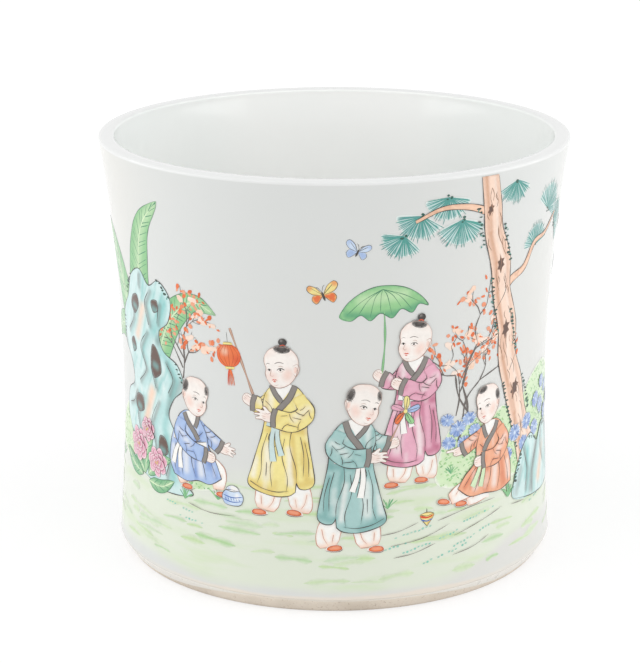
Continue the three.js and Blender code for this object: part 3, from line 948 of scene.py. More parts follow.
def drawDrum(boy, at):
    drum = boy.inner(at)
    side = [(-6.6, 3), (-6, 0.4), (0, -1.2), (6, 0.4), (6.6, 3)]
    drum.fill([(-6, 6), *side, (6, 6), (0, 4.6)], "orange",
              [([(4, 1), (5, 4)], 2.4, "orangeDeep", 0.8), ([(-2.6, 1), (-2.6, 3)], 1.8, "peach", 0.7)],
              rim="orangeDeep", spacing=0.8)
    drum.fill(ellipsePoints(0, 6, 6.2, 1.9, 10), "white", [([(2, 5.6)] * 2, 3, "peach", 0.6)], rim="grey",
              spacing=0.8)
    drum.contour(ellipsePoints(0, 6, 6.2, 1.9, 12), 0.22, more=[[(-6.2, 6), *side, (6.2, 6)]])
    drawDabs(drum, [dab(x, 3.9 - 1.5 * math.cos(x / 5), 0.8, 0, 0.8, "yellow")
                    for x in (-5.4, -3.7, -1.9, 0, 1.9, 3.7, 5.4)])
    drum.strokes([[(-4, 8.4), (1, 13)], [(4, 8.2), (-0.4, 12.4)]], 0.5, "bark")


# The garden: rocks, trees, flowers and grass

def inside(outline, x, y):
    hits = 0
    for (x0, y0), (x1, y1) in zip(outline, [*outline[1:], outline[0]]):
        hits += (y0 > y) != (y1 > y) and x < x0 + (x1 - x0) * (y - y0) / (y1 - y0)
    return hits % 2 == 1


def scatter(outline, count):
    # loose points inside an outline
    found = []
    left, low, right, high = boxOf(outline)
    while len(found) < count:
        x, y = random.uniform(left, right), random.uniform(low, high)
        if inside(outline, x, y):
            found.append((x, y))
    return found


def dab(x, y, long, turn, width, colour):
    # one short touch of the brush
    c, s = (share * long / 2 for share in aim(turn))
    return ([(x - c, y - s), (x, y), (x + c, y + s)], width, colour)


def drawDabs(motif, dabs, ends=(0.3, 0.2)):
    motif.strokes(dabs, 1.0, "ink", kind="", ends=ends, over="dab", lift=0.4)


def drawMoss(motif, lines):
    # short dark touches of moss along the edge of a trunk or a rock
    dots = []
    for line in lines:
        for x, y in curveThrough(line, spacing=1.7):
            x, y = x + random.uniform(-0.6, 0.6), y + random.uniform(-0.3, 0.3)
            colour = ("moss", "hair", random.uniform(0.1, 0.7))
            dots.append(dab(x, y, random.uniform(1.2, 2.2), random.uniform(-22, 22),
                            random.uniform(0.6, 0.95), colour))
            if random.random() < 0.35:
                dots.append(dab(x + random.uniform(-1.2, 1.2), y - 0.7, 0.9, 90, 0.6, "needle"))
    drawDabs(motif, dots)


def brushMarks(outline, number, turn, long, colours, reach, strength):
    # streaks of a broad brush, as shades inside an outline
    marks = []
    for x, y in scatter(outline, number):
        dx, dy = aim(turn + random.uniform(-9, 9))
        half = long * random.uniform(0.35, 0.7)
        marks.append(([(x - dx * half, y - dy * half), (x + dx * half, y + dy * half)],
                      reach * random.uniform(0.7, 1.5), random.choice(colours), strength))
    return marks


def drawRock(rock, outline, shades, ridges, hollows=(), moss=(), streaks=26):
    # each ridge has a dark cleft on one side, which fades into turquoise
    marks = brushMarks(outline, streaks, 62, 13,
                       ("rockDeep", ("rock", "white", 0.7), ("rock", "rockDeep", 0.5)), 1.1, 0.45)
    cuts = ((2.6, 0.5, 3.8, "rockDeep", 0.42), (0.9, 0.3, 1.8, "shade", 0.5))
    clefts = [([(x + across, y - down) for x, y in ridge], reach, colour, strength)
              for across, down, reach, colour, strength in cuts for ridge in ridges]
    rock.fill(outline, "rock", [*marks, *shades, *clefts], rim=("rockDeep", "shade", 0.3), rimShare=0.3,
              spacing=0.9)
    rock.contour(outline, 0.32)
    rock.strokes(ridges, 0.3, "ink", ends=(0.8, 0.1))
    for hollow in hollows:
        x, y = np.mean(hollow, axis=0)
        light = ([(x - 0.8, y - 1.2), (x + 0.8, y - 1.6)], 2.4, ("shade", "rockDeep", 0.6), 0.8)
        rock.fill(hollow, "hollow", [light],
                  rim=("shade", "rock", 0.35), rimShare=0.8, spacing=0.8)
        rock.strokes([hollow + hollow[:2]], 0.2, "ink")
    if moss:
        drawMoss(rock, moss)


def growTwigs(x, y, turn, long, width, forks):
    # a twig that forks into finer ones; gives the lines and where they end
    dx, dy = aim(turn)
    bend = random.uniform(-0.18, 0.18) * long
    tip = (x + long * dx, y + long * dy)
    middle = ((x + tip[0]) / 2 - bend * dy, (y + tip[1]) / 2 + bend * dx)
    lines, tips = [([(x, y), middle, tip], width)], [tip, middle]
    if forks:
        for side in (-1, 1):
            start = tip if random.random() < 0.6 else middle
            more = growTwigs(*start, turn + side * random.uniform(18, 46), long * random.uniform(0.55, 0.8),
                             width * 0.72, forks - 1)
            lines, tips = lines + more[0], tips + more[1]
    return lines, tips[2:] if forks > 2 else tips


def drawShrub(shrub, stems, leaves, size=1.0):
    # bare twigs, and loose leaves round their tips over a few pale washes
    lines, tips = [], []
    for stem in stems:
        grown = growTwigs(*stem)
        lines, tips = lines + grown[0], tips + grown[1]
    shrub.strokes([(line, width, ("softInk", "ink", 0.5)) for line, width in lines], 0.4, "ink",
                  ends=(1, 0.4))
    touches = []
    for i in range(leaves // 9):
        x, y = random.choice(tips)
        touches.append(dab(x + random.uniform(-1, 1), y, random.uniform(2.6, 4.4) * size,
                           random.uniform(-50, 50), random.uniform(1.6, 2.6) * size,
                           ("peach", "white", random.uniform(0.1, 0.5))))
    for i in range(leaves):
        x, y = random.choice(tips)
        turn, out = random.uniform(0, 360), 3.2 * random.random() ** 0.5
        dx, dy = aim(turn)
        colour = ("orange", random.choice(("orangeDeep", "peach", "peach")), random.uniform(0, 0.5))
        touches.append(dab(x + out * dx, y + out * dy, random.uniform(1.5, 2.4) * size,
                           turn + random.uniform(-60, 60), random.uniform(0.9, 1.4) * size, colour))
    drawDabs(shrub, touches)


def drawAster(asters, x, y, reach, turn):
    # rays of blue round a pale eye, seen a little from the side
    petals, number, squash = [], int(13 + reach * 2), 0.8
    dx, dy = aim(turn)
    for i in range(number):
        a = 2 * math.pi * (i + random.uniform(-0.25, 0.25)) / number
        out = reach * random.uniform(0.85, 1.08)
        ends = [(f * out * math.cos(a), f * out * math.sin(a) * squash) for f in (0.28, 0.65, 1.0)]
        line = [(x + px * dx - py * dy, y + px * dy + py * dx) for px, py in ends]
        petals.append((line, random.uniform(0.5, 0.75),
                       ("blue", "blueDeep", random.choice((0.0, 0.3, 0.65)))))
        if i % 2:
            petals.append(([(px + 0.3, py + 0.2) for px, py in line], 0.18, ("blueDeep", "ink", 0.55)))
    asters.fill(ellipsePoints(x, y, reach * 0.9, reach * 0.9 * squash, 9, turn), "bluePale", rim="white",
                rimShare=0.8, spacing=0.9)
    drawDabs(asters, petals, ends=(0.5, 0.5))
    asters.fill(ellipsePoints(x, y, reach * 0.24, reach * 0.2), "bluePale", rim="blueDeep", rimShare=0.6,
                spacing=0.6)


def drawNeedles(pine, x, y, reach, low, high):
    # a fan of pine needles over a pale wash
    wash = [(x + reach * 0.9 * dx, y + reach * 0.9 * dy) for dx, dy in map(aim, np.linspace(low, high, 8))]
    pine.fill([(x, y)] + wash, ("teal", "tealPale", 0.5), rim="white", rimShare=0.7, spacing=1.0)
    needles, number = [], 34
    for i in range(number):
        dx, dy = aim(low + (high - low) * (i + random.random()) / number)
        out = reach * random.uniform(0.85, 1.08)
        bend = random.uniform(-0.3, 0.3)
        needles.append(([(x, y), (x + out * 0.5 * dx + bend, y + out * 0.5 * dy),
                         (x + out * dx, y + out * dy)], 0.3,
                        ("needle", "tealDeep", random.random())))
    pine.strokes(needles, 0.3, "needle", kind="", ends=(0.5, 0.3), over="dab")
    drawDabs(pine, [dab(x + random.uniform(-1, 1), y + random.uniform(-1, 1), 1.0, 0, 0.9, "moss")
                    for i in range(4)])


def drawLeaf(plant, spine, width, veins, colour=("leaf", "leafDeep", 0.25)):
    # a long leaf along its spine, with a midrib and side veins
    line = curveThrough(spine, spacing=2.0)
    share = np.linspace(0, 1, len(line))
    left, right = sidesOf(line, width * np.sin(np.pi * share ** 0.8) ** 0.7 + 0.3)
    plant.fill([*left[::2], left[-1], *right[::-2], right[0]], colour,
               [(list(line), width * 0.3, "leafPale", 0.55)], rim=("leafDeep", "leaf", 0.3), rimShare=0.3)
    plant.strokes([[*side[::2], side[-1]] for side in (left, right)], 0.22, ("leafDeep", "ink", 0.5))
    plant.strokes([list(line[::2])], 0.45, "leafPale", kind="")
    lines = []
    for i in range(1, veins):
        for side in (left, right):
            k = int(len(line) * i / veins)
            to = side[min(k + max(2, len(line) // 12), len(line) - 1)]
            lines.append([tuple(line[k]), tuple(line[k] * 0.12 + to * 0.88)])
    plant.strokes(lines, 0.24, ("leafDeep", "ink", 0.2), ends=(0.8, 0.2))


def drawPeony(flower, x, y, size):
    # rings of ruffled petals, palest at their edges
    for ring, (number, out, wide) in enumerate(((7, 4.6, 3.3), (6, 3.0, 2.8), (5, 1.5, 2.2))):
        for i in range(number):
            a = 2 * math.pi * (i + 0.5 * ring) / number + 0.3
            px, py = x + out * size * math.cos(a), y + out * size * 0.8 * math.sin(a)
            petal = [(qx + random.uniform(-0.25, 0.25), qy + random.uniform(-0.25, 0.25))
                     for qx, qy in ellipsePoints(px, py, wide * size, wide * 0.8 * size, 9, math.degrees(a))]
            flower.fill(petal, "rose", [([(x, y), (px, py)], 2.4 * size, "roseDeep", 0.55)], rim="white",
                        rimShare=0.8, spacing=0.8)
            flower.contour(petal, 0.16, ("roseDeep", "ink", 0.2))
    drawDabs(flower, [dab(x + random.uniform(-1, 1), y + random.uniform(-0.8, 0.8), 0.7, 90, 0.6,
                          "yellowDeep")
                      for i in range(7)])


def drawButterfly(wings, colour, other):
    upper = [(0.3, 0), (3, 3.4), (6.4, 4.6), (7.4, 2.6), (5, 0.4)]
    lower = [(0.3, -0.2), (4.4, -0.2), (5.2, -2.4), (3.2, -4.4), (1.6, -2.8)]
    for turn, size, flip in ((0, 1.0, False), (-18, 0.9, True)):
        side = wings.inner((0, 0), turn, size, flip)
        side.fill(upper, colour, [([(6.2, 3.4)] * 2, 2.2, other, 0.8)], rim=other, spacing=0.8)
        side.fill(lower, other, rim=colour, rimShare=0.6, spacing=0.8)
        side.contour(upper, 0.2, more=[lower[1:] + lower[:1], [(0.6, 0.4), (5.4, 3.4)]])
    wings.strokes([([(0, 1.6), (0, -2.6)], 0.8, "ink"), ([(0.1, 1.5), (1.2, 3.6), (2.2, 4.0)], 0.16, "ink"),
                   ([(-0.1, 1.5), (-0.9, 3.6), (-1.8, 4.2)], 0.16, "ink")], 0.3, "ink")


def drawBank(bank, outline, number):
    # a low bank of ground plants: a pale wash under rows of small touches
    washes = brushMarks(outline, 10, 30, 10, (("green", "leafPale", 0.3), "white"), 2.4, 0.5)
    bank.fill(outline, "leafPale", washes, rim="white", rimShare=0.8, spacing=1.3)
    drawDabs(bank, [dab(x, y, random.uniform(0.9, 1.5), random.choice((28, 152)) + random.uniform(-12, 12),
                        random.uniform(0.5, 0.8), (random.choice(("green", "green", "leaf")),
                                                   random.choice(("leafDeep", "leafPale")),
                                                   random.uniform(0, 0.45)))
                    for x, y in scatter(outline, number)])


knotHole = [(0.05, 1.0), (0.2, 0.55), (0.6, 0.46), (0.34, 0.12), (0.5, -0.3), (0.16, -0.44), (-0.12, -1.0),
            (-0.26, -0.5), (-0.56, -0.4), (-0.34, 0.0), (-0.4, 0.46), (-0.12, 0.5)]


def barkLines(points, number):
    # short bowed strokes that run up a trunk
    arcs = []
    for (x0, y0, w0), (x1, y1, w1) in zip(points, points[1:]):
        for k in range(number):
            t, shift = random.random(), random.uniform(-0.38, 0.36)
            x, y = x0 + (x1 - x0) * t + shift * (w0 + (w1 - w0) * t), y0 + (y1 - y0) * t
            long, slope = random.uniform(3.0, 8.0), (x1 - x0) / max(y1 - y0, 1)
            bow = random.choice((-0.8, 0.8))
            arcs.append([(x, y), (x + slope * long * 0.5 + bow, y + long * 0.5),
                         (x + slope * long, y + long)])
    return arcs


def trunkMarks(points, looks):
    # shades that run up a trunk; each look is how far off the middle, how wide, its colour and strength
    return [([(x0 + w0 * off, y0), (x1 + w1 * off, y1)], w0 * wide, colour, strength)
            for (x0, y0, w0), (x1, y1, w1) in zip(points, points[1:])
            for off, wide, colour, strength in looks()]


def drawTrunk(tree, points, holes, moss, knots):
    # a leaning trunk of peach-coloured bark
    def streaks():
        return ((random.uniform(-0.3, -0.1), 0.12, "bark", 0.55),
                (random.uniform(0.0, 0.25), 0.12, ("peach", "white", 0.6), 0.55))

    edges = [([(x + w * off, y) for x, y, w in points], reach, "bark", strength)
             for off, reach, strength in ((-0.3, 2.0, 0.55), (0.34, 1.7, 0.4))]
    tree.limb(points, ("peach", "white", 0.25), edges + trunkMarks(points, streaks), ("bark", "peach", 0.3),
              lineWidth=0.3, spacing=0.8)
    for x, y, high, turn in holes:
        hole = tree.inner((x, y), turn, high)
        hole.fill(knotHole, "hollow", rim=("hollow", "bark", 0.4), rimShare=0.5, spacing=0.7)
    tree.strokes(barkLines(points, 5), 0.24, ("bark", "ink", 0.5), ends=(0.4, 0.1))
    tree.strokes(knots, 0.26, "ink", ends=(0.6, 0.2))
    drawMoss(tree, moss)


def drawPlumTree(tree, points, branches, blossoms):
    # a dark old trunk, and branches with pink blossom
    for branch in branches:
        tree.limb(branch, ("bark", "shade", 0.5), [([branch[0][:2], branch[-1][:2]], 0.8, "shade", 0.6)],
                  line=("shade", "ink", 0.6), lineWidth=0.2)
    marks = trunkMarks(points, lambda: [(-0.3, 0.25, "shade", 0.8)])
    marks += trunkMarks(points, lambda: [(0.2, 0.16, ("grey", "peach", 0.5), 0.7)])
    tree.limb(points, ("bark", "grey", 0.4), marks, "shade", lineWidth=0.3, spacing=0.9)
    tree.strokes(barkLines(points, 6), 0.3, ("shade", "ink", 0.6), ends=(0.5, 0.1))
    tips = [(b[0] + (e[0] - b[0]) * t, b[1] + (e[1] - b[1]) * t) for branch in branches
            for b, e in zip(branch, branch[1:]) for t in (0.3, 0.8)]
    petals = []
    for i in range(blossoms):
        x, y = random.choice(tips)
        x, y, start = x + random.uniform(-3.4, 3.4), y + random.uniform(-3.4, 3.4), random.uniform(0, 72)
        for k in range(5):
            a = math.radians(start + 72 * k)
            petals.append(dab(x + 1.05 * math.cos(a), y + 1.05 * math.sin(a), 1.5, math.degrees(a), 1.35,
                              ("rose", random.choice(("white", "white", "roseDeep")),
                               random.uniform(0.1, 0.55))))
        petals.append(dab(x, y, 0.7, 0, 0.6, "yellowDeep"))
    drawDabs(tree, petals)


def drawBamboo(grove, x, low, high, width, bend, leaves):
    # a stalk in joints, with leaves that hang from the upper ones
    height, number = high - low, max(3, round((high - low) / 17))
    joints = [(x + bend * (k / number) ** 2, low + height * k / number) for k in range(number + 1)]
    for (x0, y0), (x1, y1) in zip(joints, joints[1:]):
        grove.limb([(x0, y0 + 0.5, width * 1.1), ((x0 + x1) / 2, (y0 + y1) / 2, width),
                    (x1, y1 - 0.4, width * 1.1)],
                   ("leaf", "leafPale", 0.3),
                   [([(x0 + width * 0.4, y0), (x1 + width * 0.4, y1)], width * 0.7, "leafDeep", 0.6)],
                   line=("leafDeep", "ink", 0.5), lineWidth=0.2)
    blades = []
    for k in range(leaves):
        jx, jy = joints[random.randrange(max(1, number // 2), number + 1)]
        side = random.choice((-1, 1))
        tx, ty = jx + side * random.uniform(4, 9), jy + random.uniform(0, 6)
        grove.strokes([[(jx, jy), (tx, ty)]], 0.35, ("leafDeep", "ink", 0.4))
        for turn in (-78, -52, -24):
            dx, dy = aim(turn + random.uniform(-12, 12))
            long = random.uniform(8, 13)
            dx, dy = dx * side * long, dy * long
            broad = random.uniform(1.7, 2.4)
            blades.append(([(tx, ty), (tx + dx * 0.35, ty + dy * 0.35 + 0.5), (tx + dx, ty + dy)],
                           tuple(broad * f for f in (0.3, 0.95, 1.0, 0.6, 0.05)),
                           ("leafDeep", "leaf", random.choice((0.1, 0.5, 0.8)))))
    drawDabs(grove, blades, ends=(1, 1))


def brushGround(ground, high, number, colour):
    # wide, soft strokes of green that lie along the ground, all the way round
    strokes = []
    for i in range(number):
        x, y, long = random.uniform(-262, 250), random.uniform(12, high), random.uniform(7, 20)
        rise = random.uniform(-0.05, 0.07) * long
        strokes.append(([(x, y), (x + long * 0.5, y + rise + 0.4), (x + long, y + rise * 1.6)],
                        random.uniform(1.2, 2.8), (colour, "ground", random.uniform(0.1, 0.7))))
    ground.strokes(strokes, 2.0, colour, edge="ground", kind="", ends=(0.1, 0.1), over="dab")


def dotRows(ground, rows):
    # rows of small touches between the ground strokes
    touches = []
    for x0, y0, x1, y1 in rows:
        steps = int(abs(x1 - x0) / 1.5)
        for k in range(steps):
            if random.random() < 0.8:
                x, y = x0 + (x1 - x0) * k / steps, y0 + (y1 - y0) * k / steps + random.uniform(-0.25, 0.25)
                touches.append(dab(x, y, 1.1, 20, 0.75, ("turquoise", "ground", random.uniform(0.0, 0.5))))
    drawDabs(ground, touches)


def grassTuft(ground, x, y, size):
    blades = []
    for lean in (-46, -26, -8, 10, 30, 50):
        dx, dy = aim(90 - lean + random.uniform(-6, 6))
        long = random.uniform(3.4, 6.4) * size
        blades.append(([(x, y), (x + long * 0.5 * dx, y + long * 0.55 * dy),
                        (x + long * 1.1 * dx, y + long * dy)],
                       0.55 * size, ("leaf", "leafDeep", random.random() * 0.8)))
    drawDabs(ground, blades, ends=(0.5, 0.1))


# The picture, drawn from the back of the scene to the front
random.seed(7)
ground = Motif("ground_strokes", 0, 0)
brushGround(ground, 50, 150, "grass")
brushGround(ground, 44, 60, "green")
dotRows(ground, [(20, 28, 40, 32), (26, 22.6, 50, 28), (44, 21, 66, 26.6), (52, 30.6, 70, 33),
                 (16, 24, 30, 26.4), (34, 17.6, 54, 22), (96, 30, 120, 33), (92, 27, 112, 29),
                 (-72, 34, -52, 32), (-66, 30, -50, 29), (150, 36, 176, 38), (-170, 34, -140, 36),
                 (-222, 30, -196, 33)])

# The left side: a tall garden rock under plantain leaves
drawBank(Motif("left_green_bank", -84, 44),
         [(-34, 0), (-30, 14), (-20, 20), (-8, 16), (6, 22), (19, 17), (27, 10), (34, 7), (40, 1), (24, -3),
          (0, -4)], 420)
plantain = Motif("plantain_leaves", -88, 60)
for spine, wide, veins in (([(-2, 10), (-12, 42), (-26, 66), (-40, 72)], 15, 26),
                           ([(2, 10), (0, 48), (6, 76), (19, 90)], 15, 28),
                           ([(6, 14), (18, 42), (32, 54), (43, 51)], 12, 24),
                           ([(0, 12), (-10, 30), (-22, 34), (-36, 26)], 12, 20)):
    drawLeaf(plantain, spine, wide, veins)
drawShrub(Motif("left_orange_shrub", -62, 84),
          [(0, 0, 88, 15, 0.6, 4), (1, 6, 52, 10, 0.45, 3), (0, 4, 122, 10, 0.45, 3)], 120)
drawRock(Motif("tall_garden_rock", -104, 40),
         [(2, 0), (5, 5), (2, 13), (-3, 20), (-1, 29), (6, 34), (4, 42), (-3, 49), (-2, 60), (5, 68),
          (10, 77), (18, 81), (24, 76), (31, 79), (37, 73), (35, 64), (29, 59), (31, 52), (39, 48), (42, 40),
          (36, 34), (33, 27), (38, 20), (44, 12), (41, 4), (46, -1), (30, -3), (14, 0)],
         [([(36, 3), (30, 22), (37, 42), (26, 58), (33, 72)], 4.0, "rockDeep", 0.6),
          ([(20, 6), (16, 20), (22, 34)], 4.2, "peach", 0.85), ([(18, 66), (12, 54)], 3.8, "peach", 0.7),
          ([(43, 3), (37, 16)], 4.6, "shade", 0.527), ([(5, 33), (0, 43), (-3, 50)], 3.2, "shade", 0.496),
          ([(35, 62), (28, 55)], 3.4, "shade", 0.496), ([(41, 42), (35, 34), (33, 28)], 3.4, "shade", 0.465),
          ([(2, 2), (5, 9)], 3.0, "shade", 0.434), ([(24, 60), (21, 68)], 2.4, "shade", 0.31)],
         [[(7, 3), (12, 12), (9, 22), (14, 30)], [(20, 2), (24, 12), (21, 22), (26, 31)],
          [(31, 3), (33, 11), (29, 18)], [(12, 36), (18, 42), (14, 50), (20, 57)],
          [(33, 36), (36, 42), (32, 48)], [(3, 54), (9, 60), (10, 68)], [(22, 60), (20, 68), (24, 74)],
          [(28, 62), (30, 70)], [(0, 24), (5, 26), (8, 31)], [(16, 74), (17, 79)], [(38, 8), (40, 13)],
          [(15, 5), (16, 14), (13, 20)], [(25, 36), (22, 44), (25, 50)]],
         [[(11, 62), (15, 66), (14, 70), (10, 69), (8, 65)],
          [(24, 40), (29, 43), (28, 50), (24, 53), (22, 46)],
          [(10, 23), (15, 25), (14, 30), (9, 30), (7, 26)],
          [(28, 10), (32, 12), (31, 17), (27, 18), (26, 13)], [(26, 66), (29, 67), (29, 71), (25, 70)],
          [(7, 46), (10, 48), (8, 52), (5, 50)]],
         [[(4, 69), (9, 77)], [(30, 79), (36, 74)], [(38, 48), (41, 42)], [(-3, 50), (-2, 58)]], 60)
peonies = Motif("left_peonies", -88, 40)
for spine, wide in (([(0, 0), (-8, 6), (-14, 14)], 6), ([(2, 0), (10, 7), (18, 10)], 6),
                    ([(0, 0), (1, 9), (6, 17)], 5.5), ([(-2, -1), (-12, 1), (-20, 5)], 5.5),
                    ([(3, -2), (12, -2), (20, 2)], 5)):
    drawLeaf(peonies, spine, wide, 5, ("leafDeep", "leaf", 0.4))
for x, y, size in ((-6, 10, 1.0), (9, 7, 0.85), (2, 18, 0.7)):
    drawPeony(peonies, x, y, size)

# The right side: an old pine over a green bank with blue asters
drawBank(Motif("right_green_bank", 84, 50),
         [(-43, -4), (-43, 8), (-38, 18), (-29, 21), (-21, 17), (-12, 21), (-2, 18), (10, 27), (24, 30),
          (38, 24), (48, 12), (50, -2), (20, -8), (-16, -8)], 900)
drawShrub(Motif("right_orange_shrub", 48, 62),
          [(1, 0, 86, 22, 0.85, 4), (3, 8, 60, 16, 0.6, 4), (0, 10, 84, 12, 0.5, 3)], 190, 1.05)
pine = Motif("pine_needle_fans", 0, 0)
for fan in ((96, 142, 11, -30, 150), (107, 134, 10, -60, 120), (88, 130, 9, 10, 180),
            (30, 150, 9.5, 175, 330), (40, 156, 9.5, 185, 350), (46, 147, 10.5, 200, 345),
            (24, 143, 8.5, 170, 320), (70, 158, 9, 200, 340)):
    drawNeedles(pine, *fan)
trunk = Motif("peach_barked_pine", 0, 0)
for bough, under in (([(62, 146, 3.4), (50, 151, 2.4), (38, 152, 1.7), (28, 148, 1.2)],
                      ([(58, 147), (34, 151)], 0.9, "bark", 0.55)),
                     ([(66, 110, 4.0), (72, 119, 3.3), (81, 123, 2.6), (87, 131, 2.1), (96, 133, 1.6),
                       (105, 139, 1.0)],
                      ([(76, 121), (87, 130), (100, 135)], 0.9, "bark", 0.7))):
    trunk.limb(bough, "peach", [under], "bark", lineWidth=0.24)
drawTrunk(trunk, [(94, 42, 19), (88, 54, 13), (83, 66, 11.4), (79, 78, 12.4), (74, 90, 10.4), (73, 102, 10.8),
                  (68, 116, 9.4), (66, 128, 10.4), (61, 140, 8.6), (59, 150, 8.2), (55.6, 164, 7.0)],
          [(80, 76, 4.4, -12), (72, 101, 4.0, 6), (66, 127, 3.6, 14), (58, 149, 2.6, 0)],
          [[(83, 52), (77, 66), (72, 80)], [(92, 66), (86, 80)], [(67, 100), (62, 122)],
           [(79, 92), (75, 108)], [(56, 136), (53, 150)], [(71, 128), (66, 142)]],
          [[(90, 44), (86, 56), (88, 66)], [(98, 44), (92, 54)], [(76, 84), (80, 92), (76, 98)],
           [(64, 108), (70, 116), (68, 122)]])
asters = Motif("blue_asters", 96, 60)
for x, y, reach in ((-8, -8, 4.0), (-15, -2, 4.4), (-5, 0, 4.2), (3, -5, 4.4), (11, 2, 4.6), (4, 6, 4.0),
                    (19, -3, 4.2), (20, 7, 3.8), (27, 1, 4.2), (-20, -9, 3.6), (12, 11, 3.6), (-26, -3, 3.6),
                    (-51, 2, 3.4), (-47, 7, 3.8), (-52, 11, 3.2), (-44, 1, 3.6), (-42, 10, 3.4),
                    (-39, 5, 3.2)):
    drawAster(asters, x, y, reach, random.uniform(-20, 20))
drawRock(Motif("low_right_rock", 92, 30),
         [(-12, 2), (-11, 10), (-5, 20), (3, 24), (10, 19), (17, 24), (26, 22), (34, 13), (37, 3), (22, -2),
          (4, -1)],
         [([(12, 4), (18, 14)], 4.4, "peach", 0.85), ([(9, 18), (3, 8), (2, 2)], 3.2, "shade", 0.527),
          ([(33, 4), (28, 14), (26, 20)], 4.4, "shade", 0.527), ([(-10, 4), (-6, 12)], 2.6, "shade", 0.372),
          ([(-2, 8), (0, 18)], 3, "rockDeep", 0.7)],
         [[(-4, 20), (-1, 11), (-3, 3)], [(10, 19), (4, 9), (3, 1)], [(25, 21), (27, 12), (24, 3)],
          [(16, 23), (15, 15), (19, 8)]],
         moss=[[(2, 23), (9, 20)], [(-11, 9), (-6, 18)], [(18, 23.4), (24, 22)]], streaks=30)
ground.strokes([[(-60, 36), (-50, 34.5), (-38, 35)], [(40, 33), (54, 35.4), (68, 36)],
                [(17, 30), (24, 31), (32, 33.6)], [(21, 25.6), (34, 27.4), (45, 31)],
                [(47, 26), (58, 28.4), (72, 31.4)], [(22, 21), (30, 22), (39, 24.6)],
                [(46, 18.6), (56, 20), (64, 22.6)], [(78, 30.4), (88, 29.4)], [(126, 32), (140, 31)]],
               0.2, "softInk", ends=(0.4, 0.1))
for tuft in ((-46, 40, 0.9), (-62, 37, 1.0), (20, 40, 0.8), (76, 34, 1.0), (46, 50, 0.8), (128, 34, 1.1),
             (-118, 38, 1.0)):
    grassTuft(ground, *tuft)

# The middle: boys at play
cricketBoy = Motif("blue_robed_boy", -58, 41, 0.95, flip=True)
drawBoy(cricketBoy, "crouching", "blue", "white", (-2.0, 38.7, 10, "sides"),
        ([(-3, 28, 4.2), (-8, 24, 6.0), (-13.4, 20.6, 6.2)], [[(-6, 25.4), (-8.6, 22.4)]],
         (14, "open", 0.95)),
        ([(5.4, 28.4, 4.4), (6.8, 22.4, 6.8), (1.0, 17.6, 7.0), (-6.4, 16.0, 6.6)],
         [[(7.4, 23), (5.0, 20.8)], [(4.4, 18.4), (1.2, 19.2)], [(3.4, 16.0), (-0.6, 16.2)]],
         (8, "fist", 1.0)))
drawJar(cricketBoy, (-19.5, -2.0))

lanternBoy = Motif("yellow_robed_boy", -19, 37)
drawPole(lanternBoy, (-9.6, 40), (-20.4, 70), 0.9)
drawLantern(lanternBoy, (-21.2, 59.4), 4)
drawBoy(lanternBoy, "walking", "yellow", "tealPale", (-0.8, 56.8, 4, "topknot"),
        ([(-4.6, 46, 4.4), (-8.0, 42.0, 6.0), (-11.4, 42.6, 6.4)], [[(-6.4, 43), (-8.4, 40.6)]],
         (-30, "fist", 0.95)),
        ([(5.6, 46.4, 4.2), (8.6, 40.6, 6.8), (3.6, 36.6, 7.6), (-3.4, 37.6, 7.2)],
         [[(9.6, 41.4), (7.0, 38.8)], [(6.8, 37.8), (3.4, 38.4)], [(5.4, 34.8), (1.4, 35.6)],
          [(1.6, 39.0), (-1.0, 38.6)]],
         (-6, "open", 1.0)))

roseBoy = Motif("rose_robed_boy", 30, 48, 0.97)
drawParasolLeaf(roseBoy, (-13.0, 43.6), (-12.6, 72), 6)
drawBoy(roseBoy, "walking", "rose", "white", (-0.6, 56.6, -6, "topknot"),
        ([(-4.4, 45.8, 4.4), (-8.6, 41.6, 6.2), (-12.0, 43.0, 6.4)], [[(-6.6, 42.8), (-8.8, 40.4)]],
         (-40, "fist", 0.95)),
        ([(5.6, 46.4, 4.2), (8.2, 41, 6.6), (3.0, 36.8, 7.2), (-4.6, 39.6, 6.8)],
         [[(9.0, 41.4), (6.4, 39.2)], [(6.0, 38.0), (2.6, 38.8)], [(4.6, 35.2), (0.6, 36.4)]],
         (-30, "fist", 1.0)), -0.6)

pinwheelBoy = Motif("teal_robed_boy", 5, 24, 1.0, lean=-3.5, flip=True)
drawPinwheel(pinwheelBoy, (-13.4, 42), (-17.6, 53))
drawBoy(pinwheelBoy, "walking", "teal", "white", (-1.4, 56.2, 12, "sides"),
        ([(-4.4, 46, 4.4), (-8.4, 42, 6.2), (-12.2, 41.0, 6.4)], [[(-6.4, 43.2), (-8.4, 40.8)]],
         (-10, "fist", 0.95)),
        ([(5.6, 46.4, 4.2), (7.4, 40.6, 6.8), (1.8, 36.4, 7.4), (-5.4, 36.2, 7.0)],
         [[(8.2, 41.2), (5.8, 38.8)], [(5.0, 37.8), (1.8, 38.4)], [(3.6, 34.6), (-0.4, 35.0)],
          [(-0.6, 37.8), (-3.0, 37.2)]],
         (4, "open", 1.0)), 1.0)

